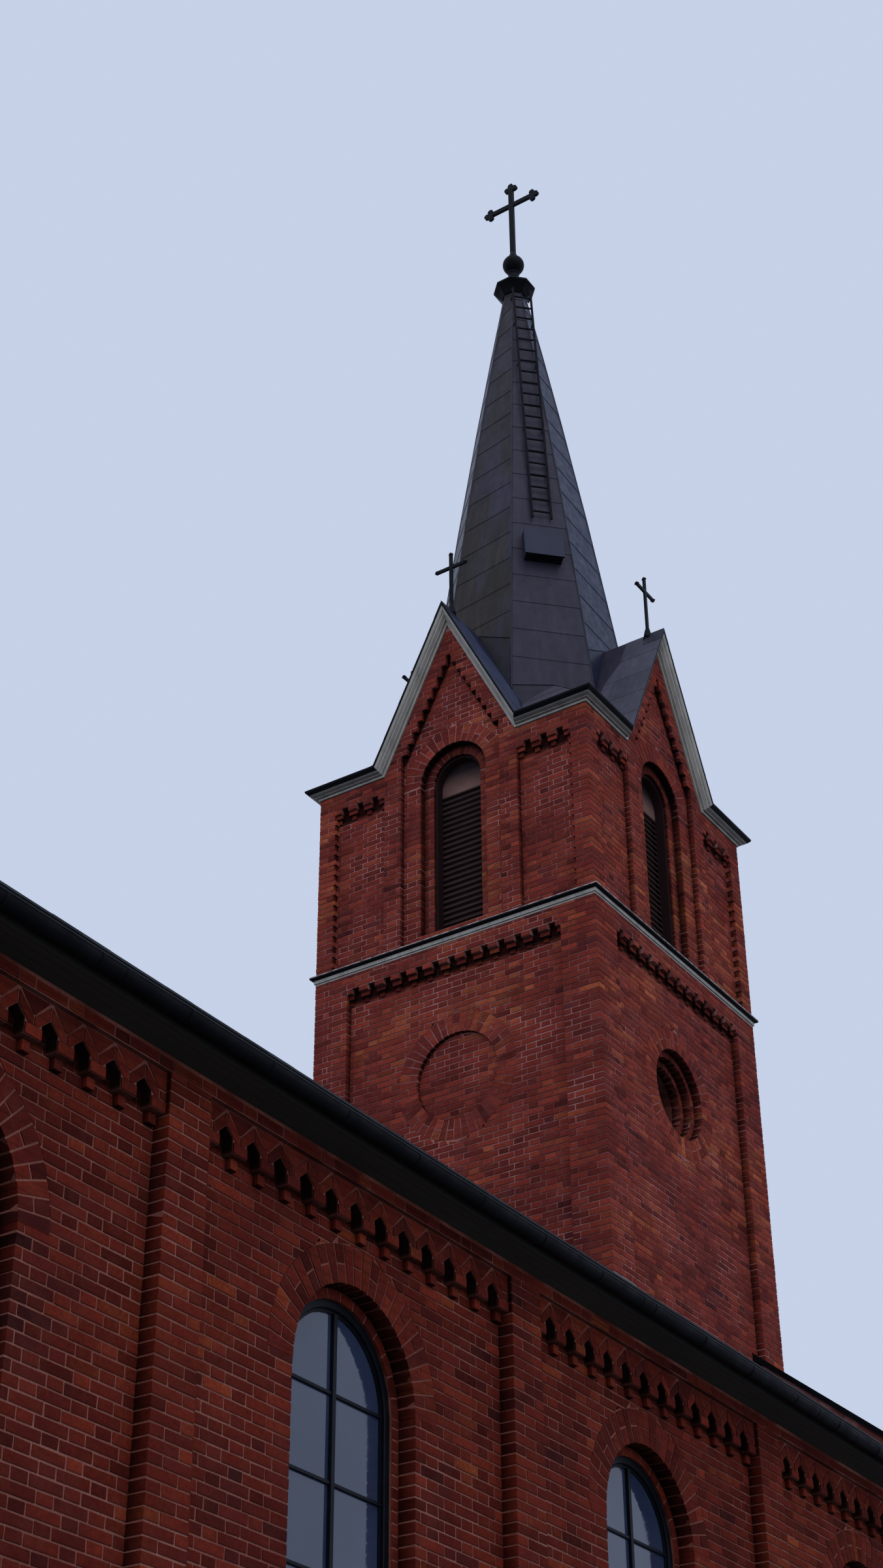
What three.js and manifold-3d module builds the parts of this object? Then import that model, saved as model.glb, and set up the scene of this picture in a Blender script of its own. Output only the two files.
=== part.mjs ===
// A brick church: a five-bay nave under a pitched roof, and at its front end a square
// tower with a belfry of four gables and an octagonal spire.
// Millimetres, +Z up. The nave runs along X, the tower and the portal stand at +X (the
// front), and left and right are as seen by someone who faces the portal: left is -Y.
import * as THREE from 'three'
import { mergeVertices } from 'three/addons/utils/BufferGeometryUtils.js'
import Module from 'manifold-3d'

const wasm = await Module()
wasm.setup()

const GAP = 0.3 // left between neighbours that touch
const OVER = 20 // how far a cutting solid runs past the face that it cuts

// Nave
const BAY = 3834
const FULL_BAYS = 4
const PILASTER = 380
const HALF_WIDTH = 5255 // from the ridge line to the face of the pilasters
const NAVE_WALL = 580
const GABLE_WALL = 460
const PANEL_DEPTH = 120
const PANEL_FOOT = 900
const FRONT_BAY_START = -1728 // near edge of the pilaster where the tower's bay begins
const NAVE_FRONT = 1920
const NAVE_REAR = FRONT_BAY_START - FULL_BAYS * BAY
const WALL_TOP = 8080
const FLOOR_TOP = 150

// Corbel frieze of the nave: pointed gaps between square piers
const FRIEZE_PITCH = 277
const FRIEZE_GAP = 138
const FRIEZE_FOOT = 7710
const FRIEZE_SHOULDER = 7810
const FRIEZE_POINT = 7870
const BAND_TOP = 7980
const BAND_RECESS = 35 // the frieze stands behind the face of the pilasters

// Nave windows: an outer order of brick, and the window close behind it
const WINDOW_ORDER_RADIUS = 677
const WINDOW_ORDER_DEPTH = 130
const WINDOW_RADIUS = 604
const WINDOW_SILL = 2300
const WINDOW_SPRING = 6670
const WINDOW_SETBACK = 150 // from the face of the panel
const WINDOW_THICK = 60
const ARC_STEPS = 12

// Roof of the nave
const ROOF_SLOPE = 0.8
const ROOF_EDGE = 5560
const ROOF_EDGE_TOP = 8242
const ROOF_DEPTH = 120
const EAVES_REACH = 5500
const GUTTER_REACH = 5640
const GUTTER_LIP = 8170
const GUTTER_SHEET = 10
const GUTTER_FLOOR = 30 // width of the gutter's level bottom
const GUTTER_CURVE = [20, 40] // inwards from the lip, and up from the bottom
const PARAPET_RISE = 190
const COPING = 60
const COPING_REACH = 40
const REAR_ROUNDEL_Z = 10200
const FRONT_PANEL_MARGIN = 300

// Tower
const TOWER_HALF = 2042
const SHAFT_WALL = 550
const BELFRY_WALL = 450
const SHAFT_TOP = 15980
const BELT_TOP = 16100
const BELT_STEPS = [[0, 22], [72, 45], [95, 66]] // up from its foot, and outwards
const TOWER_PANEL_HALF = 1560
const TOWER_PANEL_DEPTH = 100
const TOWER_PANEL_FOOT = 10600
const FRONT_PANEL_FOOT = 5000
const TEETH_PITCH = 238
const TEETH_GAP = 105
const TEETH_FOOT = 15710
const TEETH_TOP = 15780
const ROUNDEL_Z = 14200
const ROUNDEL_RADIUS = 575
const ROUNDEL_DEPTH = 60
const OCULUS_RADII = [575, 500, 425]
const ORDER_DEPTH = 110
const DOOR_RADIUS = 800
const DOOR_SPRING = 2500
const PORTAL_ORDER_RADIUS = 980
const PORTAL_ORDER_DEPTH = 150
const DOOR_THICK = 70
const LEAF_SETBACK = 120
const BELFRY_FLOOR = [15600, 15800]

// Belfry
const EAVES_Z = 18790
const GABLE_FOOT = 1010
const GABLE_APEX = 20880
const BELFRY_PANEL_DEPTH = 80
const SIDE_PANEL = [1010, 1810]
const SIDE_TEETH_FOOT = 18480
const SIDE_TEETH_TOP = 18555
const CENTRE_PANEL_HALF = 760
const STAIR_GOING = 77.5
const STAIR_RISE = 151.5
const STAIR_TOP = 20400
const STAIR_STEPS = 9
const BELL_ORDER_RADIUS = 505
const BELL_ORDER_DEPTH = 100
const BELL_RADIUS = 362
const BELL_SPRING = 18500
const BELL_SILL = 16250
const LOUVRE_SETBACK = 155
const LOUVRE_THICK = 60
const CORNICE_STEPS = [[0, 35, 30], [35, 75, 95], [75, 135, 165]] // from and to, up, and outwards
const CORNICE_TOP = 135

// Spire
const SPIRE_RADIUS = 1629 // to the corners, at SPIRE_RADIUS_Z
const SPIRE_RADIUS_Z = 19100
const SPIRE_TAPER = 0.12328
const SPIRE_SWELL = 2.81e-6 // the taper grows upwards, so the faces swell a little
const SPIRE_SHELL = 110
const SPIRE_CUT = 28950
const SPIRE_LEVELS = [EAVES_Z + CORNICE_TOP, 21500, 24000, 26000, 27500, SPIRE_CUT]
const APRON_TOP = 20150
const APRON_HALF = 960
const COLLAR = [[200, 28780], [262, 28860], [335, 28950], [335, 28985], [84, 29185], [84, 29440]]
const BALL_Z = 29555
const BALL_RADIUS = 173
const BALL_BOSS = { radius: 80, low: 29675, high: 29735 }
const HATCH = { width: 540, height: 528, depth: 180, foot: 22490, lid: 25, rim: 15 }
const LADDER = { width: 282, foot: 23370, top: 28700, bar: 30, rung: 22, pitch: 265, shift: 36 }
const LADDER_OFF = [45, 130] // from the face to the ladder, at its foot and at its top
const LADDER_FEET = [0.07, 0.37, 0.66, 0.85, 0.975] // places along its length
const CROSS = {
  foot: 29735, top: 31460, arm: 30960, reach: 520, bar: 84, armBar: 74, thick: 50, bud: 52, root: 110,
}
const GABLE_CROSS = {
  foot: 21150, top: 22220, arm: 21950, reach: 270, bar: 48, thick: 32, bud: 42, root: 160,
}
const GABLE_CROSS_PLACE = 1950

const GABLE_SLOPE = (GABLE_APEX - EAVES_Z) / GABLE_FOOT
const GABLE_STRETCH = Math.hypot(1, GABLE_SLOPE)
const PANEL_FACE = HALF_WIDTH - PANEL_DEPTH

// Origin on the ground, below the middle of the whole building's box
const REAR_END = NAVE_REAR - COPING_REACH
const FRONT_END = TOWER_HALF + CORNICE_STEPS.at(-1)[2]
const MIDDLE_X = (REAR_END + FRONT_END) / 2

// Drops the triangles that merging has folded to a line
function wholeTriangles(index) {
  const kept = []
  for (let i = 0; i < index.length; i += 3) {
    const [a, b, c] = index.slice(i, i + 3)
    if (a !== b && b !== c && c !== a) kept.push(a, b, c)
  }
  return kept
}

// Closed meshes as solids, and back
function toSolid(geometry) {
  const bare = geometry.clone()
  bare.deleteAttribute('normal')
  bare.deleteAttribute('uv')
  const merged = mergeVertices(bare, 0.001)
  return new wasm.Manifold(new wasm.Mesh({
    numProp: 3,
    vertProperties: Float32Array.from(merged.attributes.position.array),
    triVerts: Uint32Array.from(wholeTriangles(Array.from(merged.index.array))),
  }))
}

function toGeometry(solid) {
  const mesh = solid.getMesh()
  const geometry = new THREE.BufferGeometry()
  geometry.setAttribute('position', new THREE.BufferAttribute(mesh.vertProperties, 3))
  geometry.setIndex(new THREE.BufferAttribute(mesh.triVerts, 1))
  geometry.computeVertexNormals()
  return geometry
}

function join(geometries) {
  return toGeometry(geometries.map(toSolid).reduce((all, next) => all.add(next)))
}

function cut(geometry, tools) {
  return toGeometry(tools.map(toSolid).reduce((rest, tool) => rest.subtract(tool), toSolid(geometry)))
}

function shared(geometry, other) {
  return toGeometry(toSolid(geometry).intersect(toSolid(other)))
}

// Outlines are lists of [across, up]
function shapeOf(points) {
  return new THREE.Shape(points.map(([x, y]) => new THREE.Vector2(x, y)))
}

function extruded(points, depth) {
  return new THREE.ExtrudeGeometry(shapeOf(points), { depth, bevelEnabled: false })
}

// An outline in X and Z carried along Y, from yLow to yHigh
function alongY(points, yLow, yHigh) {
  return extruded(points, yHigh - yLow).rotateX(Math.PI / 2).translate(0, yHigh, 0)
}

// An outline in Y and Z carried along X
function alongX(points, xLow, xHigh) {
  return extruded(points, xHigh - xLow).rotateX(Math.PI / 2).rotateZ(Math.PI / 2).translate(xLow, 0, 0)
}

// A plan in X and Y carried upwards
function upwards(points, zLow, zHigh) {
  return extruded(points, zHigh - zLow).translate(0, 0, zLow)
}

function rectangle(left, right, low, high) {
  return [[left, low], [right, low], [right, high], [left, high]]
}

function block(xLow, xHigh, yLow, yHigh, zLow, zHigh) {
  return upwards(rectangle(xLow, xHigh, yLow, yHigh), zLow, zHigh)
}

function arc(centreX, centreY, radius, from, to, steps) {
  return Array.from({ length: steps + 1 }, (_, i) => {
    const angle = from + (to - from) * i / steps
    return [centreX + radius * Math.cos(angle), centreY + radius * Math.sin(angle)]
  })
}

function circle(centreX, centreY, radius, steps = 24) {
  return arc(centreX, centreY, radius, 0, 2 * Math.PI, steps).slice(0, -1)
}

// A round-headed opening, from its foot to the crown of its arch
function roundHead(centre, foot, spring, radius) {
  return [[centre - radius, foot], [centre + radius, foot],
    ...arc(centre, spring, radius, 0, Math.PI, ARC_STEPS)]
}

// The same geometry seen in a mirror that stands on the plane x = 0 or y = 0
function mirrored(geometry, axis) {
  const image = toGeometry(toSolid(geometry)).scale(axis === 'x' ? -1 : 1, axis === 'y' ? -1 : 1, 1)
  const index = image.index.array
  for (let i = 0; i < index.length; i += 3) {
    [index[i + 1], index[i + 2]] = [index[i + 2], index[i + 1]]
  }
  image.computeVertexNormals()
  return image
}

// Corbel friezes along the top of a recessed panel
function pointedPanel(left, right) {
  const count = Math.floor((right - left) / FRIEZE_PITCH)
  const first = (left + right) / 2 - (count - 1) / 2 * FRIEZE_PITCH
  const outline = [[left, PANEL_FOOT], [right, PANEL_FOOT], [right, FRIEZE_FOOT]]
  for (let i = count - 1; i >= 0; i--) {
    const middle = first + i * FRIEZE_PITCH
    outline.push([middle + FRIEZE_GAP / 2, FRIEZE_FOOT], [middle + FRIEZE_GAP / 2, FRIEZE_SHOULDER],
      [middle, FRIEZE_POINT], [middle - FRIEZE_GAP / 2, FRIEZE_SHOULDER],
      [middle - FRIEZE_GAP / 2, FRIEZE_FOOT])
  }
  outline.push([left, FRIEZE_FOOT])
  return outline
}

// The recesses of a nave bay, as outlines with their depths from the face of the wall
function bayRecesses(left, right) {
  return [
    [pointedPanel(left, right), PANEL_DEPTH],
    [rectangle(left, right, FRIEZE_FOOT, BAND_TOP), BAND_RECESS],
  ]
}

function toothedPanel(left, right, foot, teethFoot, teethTop, count) {
  const first = (left + right) / 2 - (count - 1) / 2 * TEETH_PITCH
  const outline = [[left, foot], [right, foot], [right, teethFoot]]
  for (let i = count - 1; i >= 0; i--) {
    const middle = first + i * TEETH_PITCH
    outline.push([middle + TEETH_GAP / 2, teethFoot], [middle + TEETH_GAP / 2, teethTop],
      [middle - TEETH_GAP / 2, teethTop], [middle - TEETH_GAP / 2, teethFoot])
  }
  outline.push([left, teethFoot])
  return outline
}

// The middle panel of a belfry face: its top climbs to the gable's point in small steps
function steppedPanel(foot) {
  const right = []
  for (let i = STAIR_STEPS; i >= 0; i--) {
    const top = STAIR_TOP - i * STAIR_RISE
    const outer = i === STAIR_STEPS ? CENTRE_PANEL_HALF : (i + 0.5) * STAIR_GOING
    right.push([outer, top - (i === STAIR_STEPS ? 0 : STAIR_RISE)], [outer, top])
  }
  const outline = [[-CENTRE_PANEL_HALF, foot], [CENTRE_PANEL_HALF, foot], ...right]
  return outline.concat(right.map(([x, z]) => [-x, z]).reverse())
}

// Nave walls
function bayStarts() {
  return Array.from({ length: FULL_BAYS + 1 }, (_, i) => NAVE_REAR + i * BAY)
}

function bayPanels() {
  return bayStarts().map((start, i) => {
    const end = i < FULL_BAYS ? start + BAY : NAVE_FRONT - PILASTER
    return [start + PILASTER, end]
  })
}

// The opening for a window through a wall, as outlines with their depths from the face of the panel
function windowOrders(centre, wallThick) {
  return [
    [roundHead(centre, WINDOW_SILL, WINDOW_SPRING, WINDOW_ORDER_RADIUS), WINDOW_ORDER_DEPTH],
    [roundHead(centre, WINDOW_SILL, WINDOW_SPRING, WINDOW_RADIUS), wallThick + OVER],
  ]
}

function windowPlate(centre) {
  return roundHead(centre, WINDOW_SILL + GAP, WINDOW_SPRING, WINDOW_RADIUS - GAP)
}

function naveSideWall() {
  const inner = NAVE_WALL - HALF_WIDTH
  const wall = alongY(rectangle(NAVE_REAR, NAVE_FRONT, 0, WALL_TOP - GAP), -HALF_WIDTH, inner)
  const tools = bayPanels().flatMap(([left, right]) => [
    ...bayRecesses(left, right).map(([outline, depth]) =>
      alongY(outline, -HALF_WIDTH - OVER, -HALF_WIDTH + depth)),
    ...windowOrders((left + right) / 2, NAVE_WALL).map(([outline, depth]) =>
      alongY(outline, -HALF_WIDTH - OVER, -PANEL_FACE + depth)),
  ])
  return cut(wall, tools)
}

function naveWindow(centre) {
  const face = WINDOW_SETBACK - PANEL_FACE
  return alongY(windowPlate(centre), face, face + WINDOW_THICK)
}

// Height of the nave roof's upper face, and of the coped parapet, at a distance from the ridge line
function roofTop(y) {
  return ROOF_EDGE_TOP + ROOF_SLOPE * (ROOF_EDGE - Math.abs(y))
}

function parapetTop(y) {
  return roofTop(y) + PARAPET_RISE
}

function rearPanels() {
  const inner = HALF_WIDTH - NAVE_WALL
  const width = (2 * inner - 2 * PILASTER) / 3
  return [-1, 0, 1].map(i => [i * (width + PILASTER) - width / 2, i * (width + PILASTER) + width / 2])
}

// A gable wall stands between the side walls and widens over their tops
function gableOutline() {
  const inner = HALF_WIDTH - NAVE_WALL - GAP
  const outer = EAVES_REACH
  const right = [[inner, 0], [inner, WALL_TOP], [outer, WALL_TOP], [outer, parapetTop(outer)]]
  return [...right, [0, parapetTop(0)], ...right.map(([y, z]) => [-y, z]).reverse()]
}

function rearGableWall() {
  const face = NAVE_REAR + PANEL_DEPTH
  const tools = rearPanels().flatMap(([left, right]) => [
    ...bayRecesses(left, right).map(([outline, depth]) =>
      alongX(outline, NAVE_REAR - OVER, NAVE_REAR + depth)),
    ...windowOrders((left + right) / 2, GABLE_WALL).map(([outline, depth]) =>
      alongX(outline, NAVE_REAR - OVER, face + depth)),
  ])
  tools.push(alongX(circle(0, REAR_ROUNDEL_Z, ROUNDEL_RADIUS), NAVE_REAR - OVER, NAVE_REAR + ROUNDEL_DEPTH))
  return cut(alongX(gableOutline(), NAVE_REAR, NAVE_REAR + GABLE_WALL), tools)
}

function rearWindow(centre) {
  const face = NAVE_REAR + PANEL_DEPTH + WINDOW_SETBACK
  return alongX(windowPlate(centre), face, face + WINDOW_THICK)
}

function frontGable() {
  const tower = rectangle(-TOWER_HALF - GAP, TOWER_HALF + GAP, -OVER, parapetTop(0) + OVER)
  const rightHalf = rectangle(0, EAVES_REACH + OVER, -OVER, parapetTop(0) + OVER)
  const whole = alongX(gableOutline(), NAVE_FRONT - GABLE_WALL, NAVE_FRONT)
  const [left, right] = [TOWER_HALF + FRONT_PANEL_MARGIN, HALF_WIDTH - NAVE_WALL - FRONT_PANEL_MARGIN]
  return cut(whole, [
    alongX(tower, NAVE_FRONT - GABLE_WALL - OVER, NAVE_FRONT + OVER),
    alongX(rightHalf, NAVE_FRONT - GABLE_WALL - OVER, NAVE_FRONT + OVER),
    ...bayRecesses(-right, -left).map(([outline, depth]) =>
      alongX(outline, NAVE_FRONT - depth, NAVE_FRONT + OVER)),
  ])
}

// Plan of the tower at roof height, with the recess of each face
function towerPlan(gap) {
  const outer = TOWER_HALF + gap
  const inset = outer - TOWER_PANEL_DEPTH
  const half = TOWER_PANEL_HALF - gap
  const side = [[outer, -outer], [outer, -half], [inset, -half], [inset, half], [outer, half]]
  const turns = [0, 1, 2, 3].map(k => side.map(([x, y]) => {
    const [c, s] = [[1, 0], [0, 1], [-1, 0], [0, -1]][k]
    return [c * x - s * y, s * x + c * y]
  }))
  return turns.flat()
}

function naveRoof() {
  const profile = [[-ROOF_EDGE, ROOF_EDGE_TOP - ROOF_DEPTH], [-GAP, roofTop(0) - ROOF_DEPTH],
    [-GAP, roofTop(0)], [-ROOF_EDGE, ROOF_EDGE_TOP]]
  const slab = alongX(profile, NAVE_REAR + GABLE_WALL + GAP, NAVE_FRONT - GABLE_WALL - GAP)
  return cut(slab, [upwards(towerPlan(GAP), WALL_TOP, roofTop(0) + OVER)])
}

function eaves() {
  const under = y => roofTop(y) - ROOF_DEPTH - GAP
  const inner = HALF_WIDTH - NAVE_WALL
  const outer = EAVES_REACH + GUTTER_SHEET
  const box = [[-outer, WALL_TOP], [-inner, WALL_TOP], [-inner, under(inner)], [-outer, under(outer)]]
  const back = -EAVES_REACH - 2 * GAP
  const [inwards, up] = GUTTER_CURVE
  const [floor, curve] = [-EAVES_REACH - GUTTER_FLOOR, -GUTTER_REACH + inwards]
  const outside = [[back, WALL_TOP], [floor, WALL_TOP], [curve, WALL_TOP + up], [-GUTTER_REACH, GUTTER_LIP]]
  const inside = [[-GUTTER_REACH + GUTTER_SHEET, GUTTER_LIP], [curve + GUTTER_SHEET, WALL_TOP + up],
    [floor, WALL_TOP + GUTTER_SHEET], [back, WALL_TOP + GUTTER_SHEET]]
  const trough = [...outside, ...inside]
  const sheet = outside.map(([y, z], i) => [(y + inside[3 - i][0]) / 2, (z + inside[3 - i][1]) / 2])
  const cap = [...sheet, [back, GUTTER_LIP - GUTTER_SHEET]]
  return join([
    alongX(box, NAVE_REAR + GABLE_WALL + GAP, NAVE_FRONT - GABLE_WALL - GAP),
    alongX(trough, NAVE_REAR, NAVE_FRONT),
    alongX(cap, NAVE_REAR, NAVE_REAR + GUTTER_SHEET),
    alongX(cap, NAVE_FRONT - GUTTER_SHEET, NAVE_FRONT),
  ])
}

// Sheet-metal coping that follows a parapet between two distances from the ridge line
function copingBand(yOuter, yInner) {
  const rise = COPING * Math.hypot(1, ROOF_SLOPE)
  const low = y => parapetTop(y) + GAP
  const [foot, head] = [low(yOuter), low(yInner)]
  return [[-yOuter, foot], [-yInner, head], [-yInner, head + rise], [-yOuter, foot + rise]]
}

function rearCoping() {
  const left = copingBand(EAVES_REACH + COPING_REACH, 0)
  const [a, b, c, d] = left
  const outline = [a, b, [-a[0], a[1]], [-d[0], d[1]], c, d]
  return alongX(outline, NAVE_REAR - COPING_REACH, NAVE_REAR + GABLE_WALL + COPING_REACH)
}

function frontCoping() {
  const band = alongX(copingBand(EAVES_REACH + COPING_REACH, TOWER_PANEL_HALF),
    NAVE_FRONT - GABLE_WALL - COPING_REACH, NAVE_FRONT + COPING_REACH)
  return cut(band, [upwards(towerPlan(GAP), WALL_TOP, roofTop(0) + OVER)])
}

function naveFloor() {
  const inner = HALF_WIDTH - NAVE_WALL - GAP
  const [rear, front] = [NAVE_REAR + GABLE_WALL + GAP, NAVE_FRONT - GABLE_WALL - GAP]
  const room = block(rear, front, -inner, inner, 0, FLOOR_TOP)
  const outer = TOWER_HALF + GAP
  const hall = TOWER_HALF - SHAFT_WALL - GAP
  const way = DOOR_RADIUS - GAP
  const walls = cut(block(-outer, outer, -outer, outer, -OVER, FLOOR_TOP + OVER), [
    block(-hall, hall, -hall, hall, -2 * OVER, FLOOR_TOP + 2 * OVER),
    block(-outer - OVER, 0, -way, way, -2 * OVER, FLOOR_TOP + 2 * OVER),
  ])
  return cut(room, [walls])
}

// A tower wall of one side, mitred at both corners
function mitred(geometry, wall, zLow, zHigh) {
  const outer = TOWER_HALF
  const corner = outer - GAP / 2
  const [narrow, inner] = [corner - wall, wall - outer]
  const plan = [[-corner, -outer], [corner, -outer], [narrow, inner], [-narrow, inner]]
  return shared(geometry, upwards(plan, zLow, zHigh))
}

function shaftWall(side) {
  const inner = SHAFT_WALL - TOWER_HALF
  const panelFace = TOWER_PANEL_DEPTH - TOWER_HALF
  const slab = alongY(rectangle(-TOWER_HALF, TOWER_HALF, 0, SHAFT_TOP), -TOWER_HALF, inner)
  const foot = side === 'front' ? FRONT_PANEL_FOOT : TOWER_PANEL_FOOT
  const panel = toothedPanel(-TOWER_PANEL_HALF, TOWER_PANEL_HALF, foot, TEETH_FOOT, TEETH_TOP, 13)
  const tools = [alongY(panel, -TOWER_HALF - OVER, panelFace)]
  if (side === 'left' || side === 'right') {
    OCULUS_RADII.forEach((radius, i) => {
      const depth = i < 2 ? panelFace + (i + 1) * ORDER_DEPTH : inner + OVER
      tools.push(alongY(circle(0, ROUNDEL_Z, radius), -TOWER_HALF - OVER, depth))
    })
  } else {
    tools.push(alongY(circle(0, ROUNDEL_Z, ROUNDEL_RADIUS), -TOWER_HALF - OVER, panelFace + ROUNDEL_DEPTH))
    tools.push(alongY(roundHead(0, -OVER, DOOR_SPRING, DOOR_RADIUS), -TOWER_HALF - OVER, inner + OVER))
  }
  if (side === 'front') {
    tools.push(alongY(roundHead(0, -OVER, DOOR_SPRING, PORTAL_ORDER_RADIUS),
      -TOWER_HALF - OVER, PORTAL_ORDER_DEPTH - TOWER_HALF))
  }
  return mitred(cut(slab, tools), SHAFT_WALL, -OVER, SHAFT_TOP + OVER)
}

function belfryWall() {
  const inner = BELFRY_WALL - TOWER_HALF
  const foot = BELT_TOP + GAP
  const half = [[TOWER_HALF, foot], [TOWER_HALF, EAVES_Z], [GABLE_FOOT, EAVES_Z]]
  const outline = [...half, [0, GABLE_APEX], ...half.map(([x, z]) => [-x, z]).reverse()]
  const panelFace = BELFRY_PANEL_DEPTH - TOWER_HALF
  const sidePanel = toothedPanel(...SIDE_PANEL, foot - OVER, SIDE_TEETH_FOOT, SIDE_TEETH_TOP, 3)
  const tools = [
    alongY(sidePanel, -TOWER_HALF - OVER, panelFace),
    alongY(sidePanel.map(([x, z]) => [-x, z]).reverse(), -TOWER_HALF - OVER, panelFace),
    alongY(steppedPanel(foot - OVER), -TOWER_HALF - OVER, panelFace),
    alongY(roundHead(0, BELL_SILL, BELL_SPRING, BELL_ORDER_RADIUS),
      -TOWER_HALF - OVER, panelFace + BELL_ORDER_DEPTH),
    alongY(roundHead(0, BELL_SILL, BELL_SPRING, BELL_RADIUS), -TOWER_HALF - OVER, inner + OVER),
  ]
  const wall = cut(alongY(outline, -TOWER_HALF, inner), tools)
  return mitred(wall, BELFRY_WALL, foot - OVER, GABLE_APEX + OVER)
}

function louvres() {
  const face = BELFRY_PANEL_DEPTH + BELL_ORDER_DEPTH + LOUVRE_SETBACK - TOWER_HALF
  return alongY(roundHead(0, BELL_SILL + GAP, BELL_SPRING, BELL_RADIUS - GAP), face, face + LOUVRE_THICK)
}

function beltCourse() {
  const low = SHAFT_TOP + GAP
  const square = (reach, zLow, zHigh) => block(-reach, reach, -reach, reach, zLow, zHigh)
  const steps = join(BELT_STEPS.map(([up, reach]) => square(TOWER_HALF + reach, low + up, BELT_TOP)))
  return cut(steps, [square(TOWER_HALF - BELFRY_WALL, low - OVER, BELT_TOP + OVER)])
}

// The eaves line of a belfry face, moved outwards by an offset: level, up the gable and down again
function eavesLine(offset, reach) {
  const foot = GABLE_FOOT + offset * (GABLE_STRETCH - 1) / GABLE_SLOPE
  const right = [[reach, EAVES_Z + offset], [foot, EAVES_Z + offset]]
  const apex = [0, GABLE_APEX + offset * GABLE_STRETCH]
  return [...right, apex, ...right.map(([x, z]) => [-x, z]).reverse()]
}

function gableCornice() {
  const sides = [0, 1, 2, 3].flatMap(k => CORNICE_STEPS.map(([low, high, reach]) => {
    const outer = TOWER_HALF + reach
    const outline = [...eavesLine(high, outer), ...eavesLine(low, outer).reverse()]
    return alongY(outline, -outer, -TOWER_HALF - GAP).rotateZ(k * Math.PI / 2)
  }))
  return join(sides)
}

// Crossing gable roofs with a low apron at each corner, as a solid mass with a given outer offset
function roofMass(offset, half, base, reach) {
  const apex = GABLE_APEX + offset * GABLE_STRETCH
  const wide = (apex - base) / GABLE_SLOPE
  const ridge = alongX([[-wide, base], [wide, base], [0, apex]], -reach, reach)
  const rise = (APRON_TOP - EAVES_Z - CORNICE_TOP) / (TOWER_HALF - APRON_HALF)
  const drop = (CORNICE_TOP - offset) * Math.hypot(1, rise)
  const shoulder = APRON_TOP - drop - rise * (half - APRON_HALF)
  const apron = new THREE.CylinderGeometry(APRON_HALF * Math.SQRT2, half * Math.SQRT2,
    APRON_TOP - drop - shoulder, 4, 1, false, Math.PI / 4)
  apron.rotateX(Math.PI / 2).translate(0, 0, (APRON_TOP - drop + shoulder) / 2)
  const body = block(-half, half, -half, half, base, shoulder)
  return join([ridge, ridge.clone().rotateZ(Math.PI / 2), apron, body])
}

function gableRoofs() {
  const outside = roofMass(CORNICE_TOP, TOWER_HALF, EAVES_Z + GAP, TOWER_HALF)
  const inside = roofMass(2 * GAP, TOWER_HALF - BELFRY_WALL, EAVES_Z - 500, TOWER_HALF + OVER)
  return cut(outside, [inside])
}

// The spire's radius to its corners: it follows the swell at the levels, and is straight between them
function swell(z) {
  const rise = z - SPIRE_RADIUS_Z
  return SPIRE_RADIUS - SPIRE_TAPER * rise - SPIRE_SWELL * rise ** 2
}

function spireRadius(z) {
  const below = SPIRE_LEVELS.filter(level => level < z).length
  const high = Math.min(Math.max(below, 1), SPIRE_LEVELS.length - 1)
  const [lowZ, highZ] = SPIRE_LEVELS.slice(high - 1, high + 1)
  return swell(lowZ) + (swell(highZ) - swell(lowZ)) * (z - lowZ) / (highZ - lowZ)
}

// An eight-sided mass: a profile of [radius to the corners, height] turned about the axis
function octagonal(profile) {
  const points = [[0, profile[0][1]], ...profile, [0, profile.at(-1)[1]]]
  const turned = new THREE.LatheGeometry(points.map(([r, z]) => new THREE.Vector2(r, z)), 8, Math.PI / 8)
  return turned.rotateX(Math.PI / 2)
}

function spire() {
  const shell = SPIRE_SHELL / Math.cos(Math.PI / 8)
  const insideLevels = [SPIRE_LEVELS[0] - OVER, ...SPIRE_LEVELS.slice(1, -1), SPIRE_CUT + OVER]
  const roofs = roofMass(CORNICE_TOP, TOWER_HALF, EAVES_Z - OVER, TOWER_HALF).translate(0, 0, 1)
  return cut(octagonal(SPIRE_LEVELS.map(z => [spireRadius(z), z])), [
    octagonal(insideLevels.map(z => [spireRadius(z) - shell, z])),
    roofs,
  ])
}

// Distance from the axis to the middle of the spire's rear left face
function faceOut(z) {
  return spireRadius(z) * Math.cos(Math.PI / 8)
}

// Places a shape drawn as [across, along the slope, outwards] over that face: its foot and a place
// further up are given as [distance from the axis, height]
function leaned(geometry, [footOut, footZ], [headOut, headZ]) {
  const lean = Math.atan2(footOut - headOut, headZ - footZ)
  const across = new THREE.Vector3(1, -1, 0).normalize()
  const level = new THREE.Vector3(-1, -1, 0).normalize()
  const out = level.clone().multiplyScalar(Math.cos(lean)).add(new THREE.Vector3(0, 0, Math.sin(lean)))
  const along = new THREE.Vector3().crossVectors(out, across)
  const place = new THREE.Matrix4().makeBasis(across, along, out)
  place.setPosition(level.x * footOut, level.y * footOut, footZ)
  return geometry.applyMatrix4(place)
}

function spireHatch() {
  const { width, height, depth, foot, lid, rim } = HATCH
  const box = block(-width / 2, width / 2, 0, height, GAP, depth)
  const cover = block(-width / 2 - rim, width / 2 + rim, -rim, height + rim, depth - lid, depth)
  const head = foot + height
  return leaned(join([box, cover]), [faceOut(foot), foot], [faceOut(head), head])
}

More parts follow.
